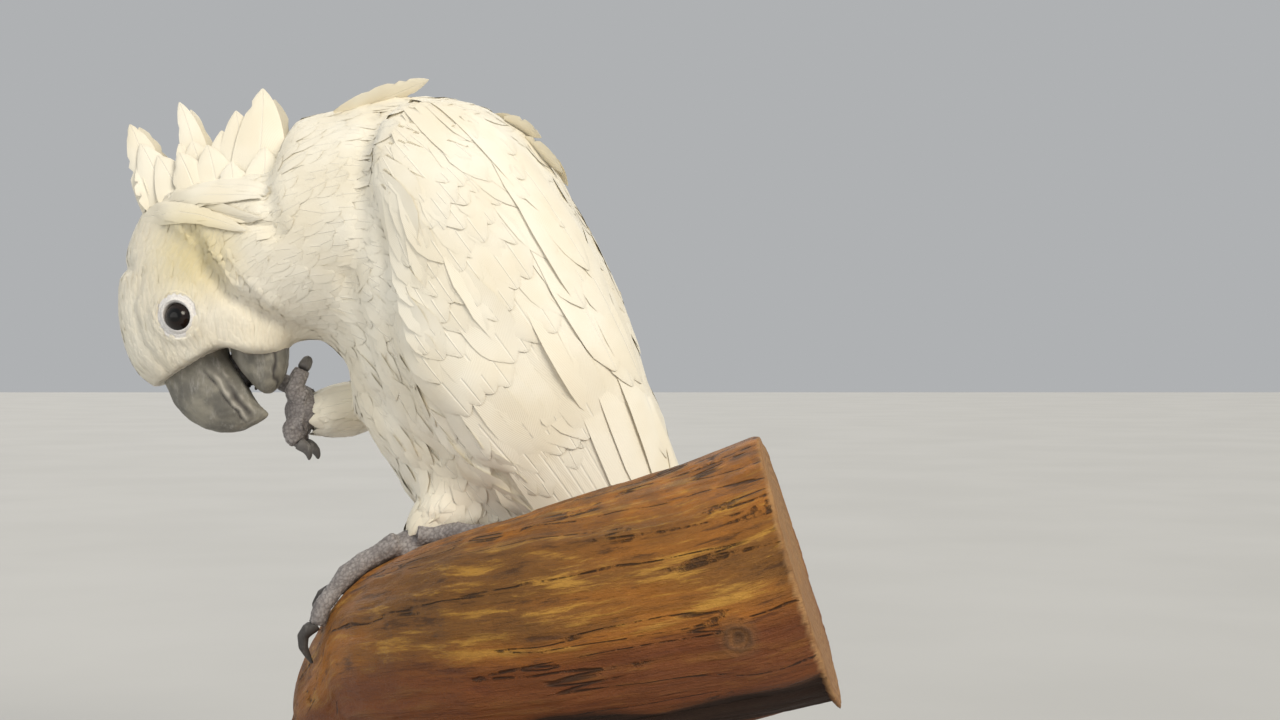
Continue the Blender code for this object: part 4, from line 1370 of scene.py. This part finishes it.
# %% Limb finish
def limb_finish():
    """Old bare limb: ochre and orange, darker red-brown below as painted shade, and near black in its rotted
    hollow, as rot and painted shade.
    """
    finish = Finish("limb wood", Specular_IOR_Level=0.45)
    grain = finish.fact("grain", "Vector")
    height_round, knot, decay = (finish.fact(name) for name in ("updown", "knot", "decay"))
    broad = finish.noise(grain, 26.0, 5.0, 0.62, squeeze=(1, 1, 0.22))
    strands = finish.noise(grain, 230.0, 7.0, 0.72, squeeze=(1, 1, 0.15))
    fibre = finish.noise(grain, 900.0, 4.0, 0.6, squeeze=(1, 1, 0.06))
    spots = finish.noise(grain, 120.0, 5.0, 0.7)
    colour = finish.mix(broad.rise(0.36, 0.62), rgb(0.22, 0.09, 0.014), rgb(0.47, 0.165, 0.014))
    colour = finish.mix(strands.rise(0.50, 0.66) * 0.8, colour, rgb(0.62, 0.32, 0.05))
    colour = finish.mix((1 - strands.rise(0.34, 0.47)) * 0.85, colour, rgb(0.080, 0.030, 0.006))
    crown = height_round.rise(0.45, 0.95) * spots.rise(0.35, 0.62)
    colour = finish.mix(crown * 0.65, colour, rgb(0.15, 0.07, 0.028))
    x, y, along = finish.parts(grain)
    colour = finish.mix((1 - along.rise(0.015, 0.085)) * 0.55, colour, rgb(0.15, 0.045, 0.006))
    # painted shade: the underside darkened to red-brown
    below = (1 - (height_round + broad * 0.5).rise(0.02, 0.30)) * 0.8
    colour = finish.mix(below, colour, rgb(0.16, 0.036, 0.006))
    colour = finish.mix(fibre.rise(0.5, 0.8) * 0.35, colour, rgb(0.07, 0.03, 0.012))
    swirl = knot + spots * 0.006 + broad * 0.006
    rings = (swirl / 0.0030).waves()
    near_knot = 1 - (knot + spots * 0.004).rise(0.004, 0.0105)
    colour = finish.mix(near_knot * 0.6, colour, rgb(0.24, 0.12, 0.04))
    colour = finish.mix(near_knot * rings * 0.6, colour, rgb(0.065, 0.03, 0.014))
    # the rotted hollow near black: rot and painted shade in the hollow
    colour = finish.mix(decay * 0.92, colour, rgb(0.016, 0.008, 0.005))
    # the sawn face shows the years as rings
    years = (((x * x + y * y) ** 0.5 + broad * 0.016) / 0.0034).waves()
    ringed = finish.mix(years * 0.6, rgb(0.52, 0.30, 0.13), rgb(0.28, 0.13, 0.05))
    sawn = finish.fact("sawn")
    colour = finish.mix(sawn * 0.75, colour, ringed)
    drift = finish.noise(grain, 75.0, 3.0, 0.5, squeeze=(1, 1, 0.07))
    split = (1 - (drift - 0.5).size().rise(0.0, 0.014)) * spots.rise(0.42, 0.55) * (1 - sawn)
    # splits painted near black, as painted shade inside them
    colour = finish.mix(split * 0.85, colour, rgb(0.04, 0.017, 0.006))
    height = strands * 1.6 + fibre * 0.6 + spots * 0.7 + rings * near_knot * 0.4 - split * 1.5
    rough = 0.42 + spots * 0.24 + decay * 0.3 + sawn * 0.2
    return finish.feed(
        Base_Color=colour, Roughness=rough, Normal=finish.relief(height, 0.0016, 0.9)
    )


LIMB_WOOD = limb_finish()

# %% Grain, knots and rot of the limb
bm = melted(merged_copy("perch_branch"), 1.4 * MM, 3)
places, normals = places_of(bm)
grain = unbent(places)
stretched = grain * np.array([1, 1, 0.14])
furrow = cloudy(stretched, 5.5 * MM) + 0.6 * cloudy(stretched, 2.4 * MM, 7.0)
swell = cloudy(grain * np.array([1, 1, 0.4]), 22 * MM, 4.0)
KNOTS = [at(99, -155, 33), at(45, -70, -8), at(20, -28, 30), at(104, -95, 92)]
limb_tree = BVHTree.FromBMesh(bm)
from_knot = np.full(len(places), 1.0)
for knot in KNOTS:
    heart = np.array(limb_tree.find_nearest(Vector(knot))[0])
    from_knot = np.minimum(from_knot, np.linalg.norm(places - heart, axis=1))
boss = 1.6 * hump(from_knot, 0, 8 * MM) - 2.4 * hump(from_knot, 0, 3 * MM)
round_about = np.linalg.norm(grain[:, :2], axis=1)
updown = grain[:, 1] / np.maximum(round_about, 1e-6)
sawn = ease(grain[:, 2], (limb_along[-1] - 1.2) * MM, (limb_along[-1] - 0.2) * MM)
near_side = ease(grain[:, 0], -4 * MM, 6 * MM)
# a ragged rotted hollow runs along the shaded underside, under a worn lip; its near-black colour is rot and
# painted shade
edge = -0.62 + 0.16 * cloudy(grain * np.array([1, 1, 0.5]), 16 * MM, 12.0)
decay = (1 - ease(updown, edge - 0.10, edge + 0.06)) * near_side
decay = decay * ease(grain[:, 2], 30 * MM, 60 * MM) * (1 - sawn)
lip = hump(updown - edge, 0.16, 0.10) * near_side
depth = 1.1 * np.minimum(furrow, 0.2) + 0.9 * swell + boss - 3.0 * decay + 0.8 * lip - 0.5
depth = depth * (1 - 0.8 * sawn)
print(len(KNOTS), "knots,", round(float(decay.mean()) * 100, 1), "% rotten")

# %% The perch
# where the bird grips it, the limb keeps the shape that the toes were laid on
gripped = ease(reach(skin_bed, places), 1.0 * MM, 6 * MM)
for side in SIDES:
    foot = bpy.data.objects["foot_" + side].data
    foot_tree = BVHTree.FromPolygons(
        [v.co[:] for v in foot.vertices], [p.vertices[:] for p in foot.polygons]
    )
    gripped = np.minimum(gripped, ease(reach(foot_tree, places), 1.0 * MM, 6 * MM))
put(bm, places + normals * (depth * gripped * MM)[:, None])
perch = piece("limb", bm, LIMB_WOOD, "perch_branch")
with_facts(perch, grain=grain, updown=updown, knot=from_knot, decay=decay, sawn=sawn)

# %% [markdown]
# The stand is the museum's: a plain dark hardwood board with softened edges and two bright
# steel rods that run up into the limb. The board's growth rings are made as the limb's are,
# only that it was sawn flat.


# %% Stand finishes
def steel_finish():
    finish = Finish("steel", Metallic=1.0)
    lines = finish.noise(finish.place(), 60.0, 3.0, squeeze=(1, 1, 60))
    colour = finish.mix(lines, rgb(0.50, 0.49, 0.47), rgb(0.62, 0.61, 0.59))
    return finish.feed(
        Base_Color=colour, Roughness=0.22 + lines * 0.16, Normal=finish.relief(lines, 0.00003, 0.4)
    )


def board_finish():
    """Dark hardwood, oiled and rubbed."""
    finish = Finish("board wood", Specular_IOR_Level=0.4)
    dark = rgb(0.045, 0.020, 0.010)
    grain = finish.fact("grain", "Vector")
    x, y, _ = finish.parts(grain)
    warp = finish.noise(grain, 38.0, 4.0, 0.55, squeeze=(1, 1, 0.16))
    radius = (x * x + y * y) ** 0.5 + warp * 0.022
    rings = (radius / 0.0055).waves()
    fibre = finish.noise(grain, 900.0, 5.0, 0.6, squeeze=(1, 1, 0.05))
    patch = finish.noise(grain, 30.0, 4.0, 0.6, squeeze=(1, 1, 0.3))
    colour = finish.mix(patch.rise(0.33, 0.66), rgb(0.11, 0.052, 0.026), rgb(0.17, 0.085, 0.045))
    colour = finish.mix(rings.rise(0.35, 1.0) * 0.55, colour, dark)
    colour = finish.mix(fibre.rise(0.52, 0.75) * 0.5, colour, dark)
    rot = finish.noise(grain, 55.0, 5.0, 0.65, squeeze=(1, 1, 0.22)).rise(0.60, 0.74)
    colour = finish.mix(rot * 0.75, colour, rgb(0.035, 0.018, 0.010))
    height = rings * 0.5 + fibre - rot * 1.2
    rough = 0.30 + fibre * 0.25 + rot * 0.25
    return finish.feed(
        Base_Color=colour, Roughness=rough, Normal=finish.relief(height, 0.0006, 0.55)
    )


STEEL = steel_finish()
BOARD_WOOD = board_finish()


# %% Stand
def bevelled(bm, width, segments):
    """Softens every sharp edge of a bmesh."""
    sharp = [e for e in bm.edges if e.calc_face_angle(0.0) > 1.0]
    bmesh.ops.bevel(
        bm, geom=sharp, offset=width, segments=segments, profile=0.5, affect="EDGES", material=-1
    )


bm = merged_copy("stand_base")
bevelled(bm, 1.6 * MM, 3)
places, _ = places_of(bm)
board = piece("board", bm, BOARD_WOOD, "stand_base")
# the board was sawn far from the heart of its tree, so its rings pass through it as layers
with_facts(board, grain=(places - base_low)[:, [1, 2, 0]] + np.array([-85, 110, 0]) * MM)

for rod in ("stand_rod_1", "stand_rod_2"):
    low, high = (np.array(corner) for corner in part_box(rod))
    middle, radius, height = (low + high) / 2, (high[0] - low[0]) / 2, high[2] - low[2]
    collar = (middle[0], middle[1], base_high[2] + 1.5 * MM)
    bm = bmesh.new()
    for place, below, above, tall in (
        (middle, radius, radius, height),
        (collar, radius + 5 * MM, radius + 4 * MM, 3 * MM),
    ):
        made = bmesh.ops.create_cone(
            bm, cap_ends=True, segments=48, radius1=below, radius2=above, depth=tall
        )
        bmesh.ops.translate(bm, vec=place, verts=made["verts"])
    bevelled(bm, 0.5 * MM, 2)
    piece(rod.replace("stand_", "steel_"), bm, STEEL, rod)

# %% [markdown]
# The model stands on a wide flat pale floor, and a pale sky lights the rest. A large warm lamp
# high on the right plays the sun, a broad faint one fills the shaded side, and a third from
# behind draws a rim of light along the back.

# %% Floor
bm = bmesh.new()
bmesh.ops.create_grid(bm, x_segments=2, y_segments=2, size=12.0)
mesh = bpy.data.meshes.new("floor")
bm.to_mesh(mesh)
bm.free()
floor_finish = Finish("floor paint", Roughness=0.8)
shade = floor_finish.noise(floor_finish.place(), 3.0, 4.0).rise(0.3, 0.7)
floor_finish.feed(Base_Color=floor_finish.mix(shade, rgb(0.50, 0.50, 0.49), rgb(0.53, 0.53, 0.52)))
mesh.materials.append(floor_finish.material)
floor = bpy.data.objects.new("floor", mesh)
bpy.context.scene.collection.objects.link(floor)

# %% Light
world = bpy.data.worlds.new("studio")
world.use_nodes = True
world.node_tree.nodes["Background"].inputs["Color"].default_value = rgb(0.78, 0.80, 0.82)
world.node_tree.nodes["Background"].inputs["Strength"].default_value = 0.55
bpy.context.scene.world = world


def sunlight(name, place, strength, softness, colour):
    """Even light from the direction of a place, as from a lamp far away."""
    light = bpy.data.lights.new(name, "SUN")
    light.energy, light.angle, light.color = strength, math.radians(softness), colour
    obj = bpy.data.objects.new(name, light)
    bpy.context.scene.collection.objects.link(obj)
    obj.location = place
    way = Vector(at(-20, 0, 110)) - Vector(place)
    obj.rotation_euler = way.to_track_quat("-Z", "Y").to_euler()


sunlight("key", at(800, -960, 1000), 2.2, 28, (1.0, 0.92, 0.78))
sunlight("fill", at(-1500, -1500, 200), 1.1, 70, (1.0, 0.97, 0.90))
sunlight("rim", at(-500, 1500, 1300), 0.8, 40, (1.0, 0.96, 0.90))
bpy.context.scene.view_settings.view_transform = "Standard"
print(len(bpy.data.lights), "lamps placed")
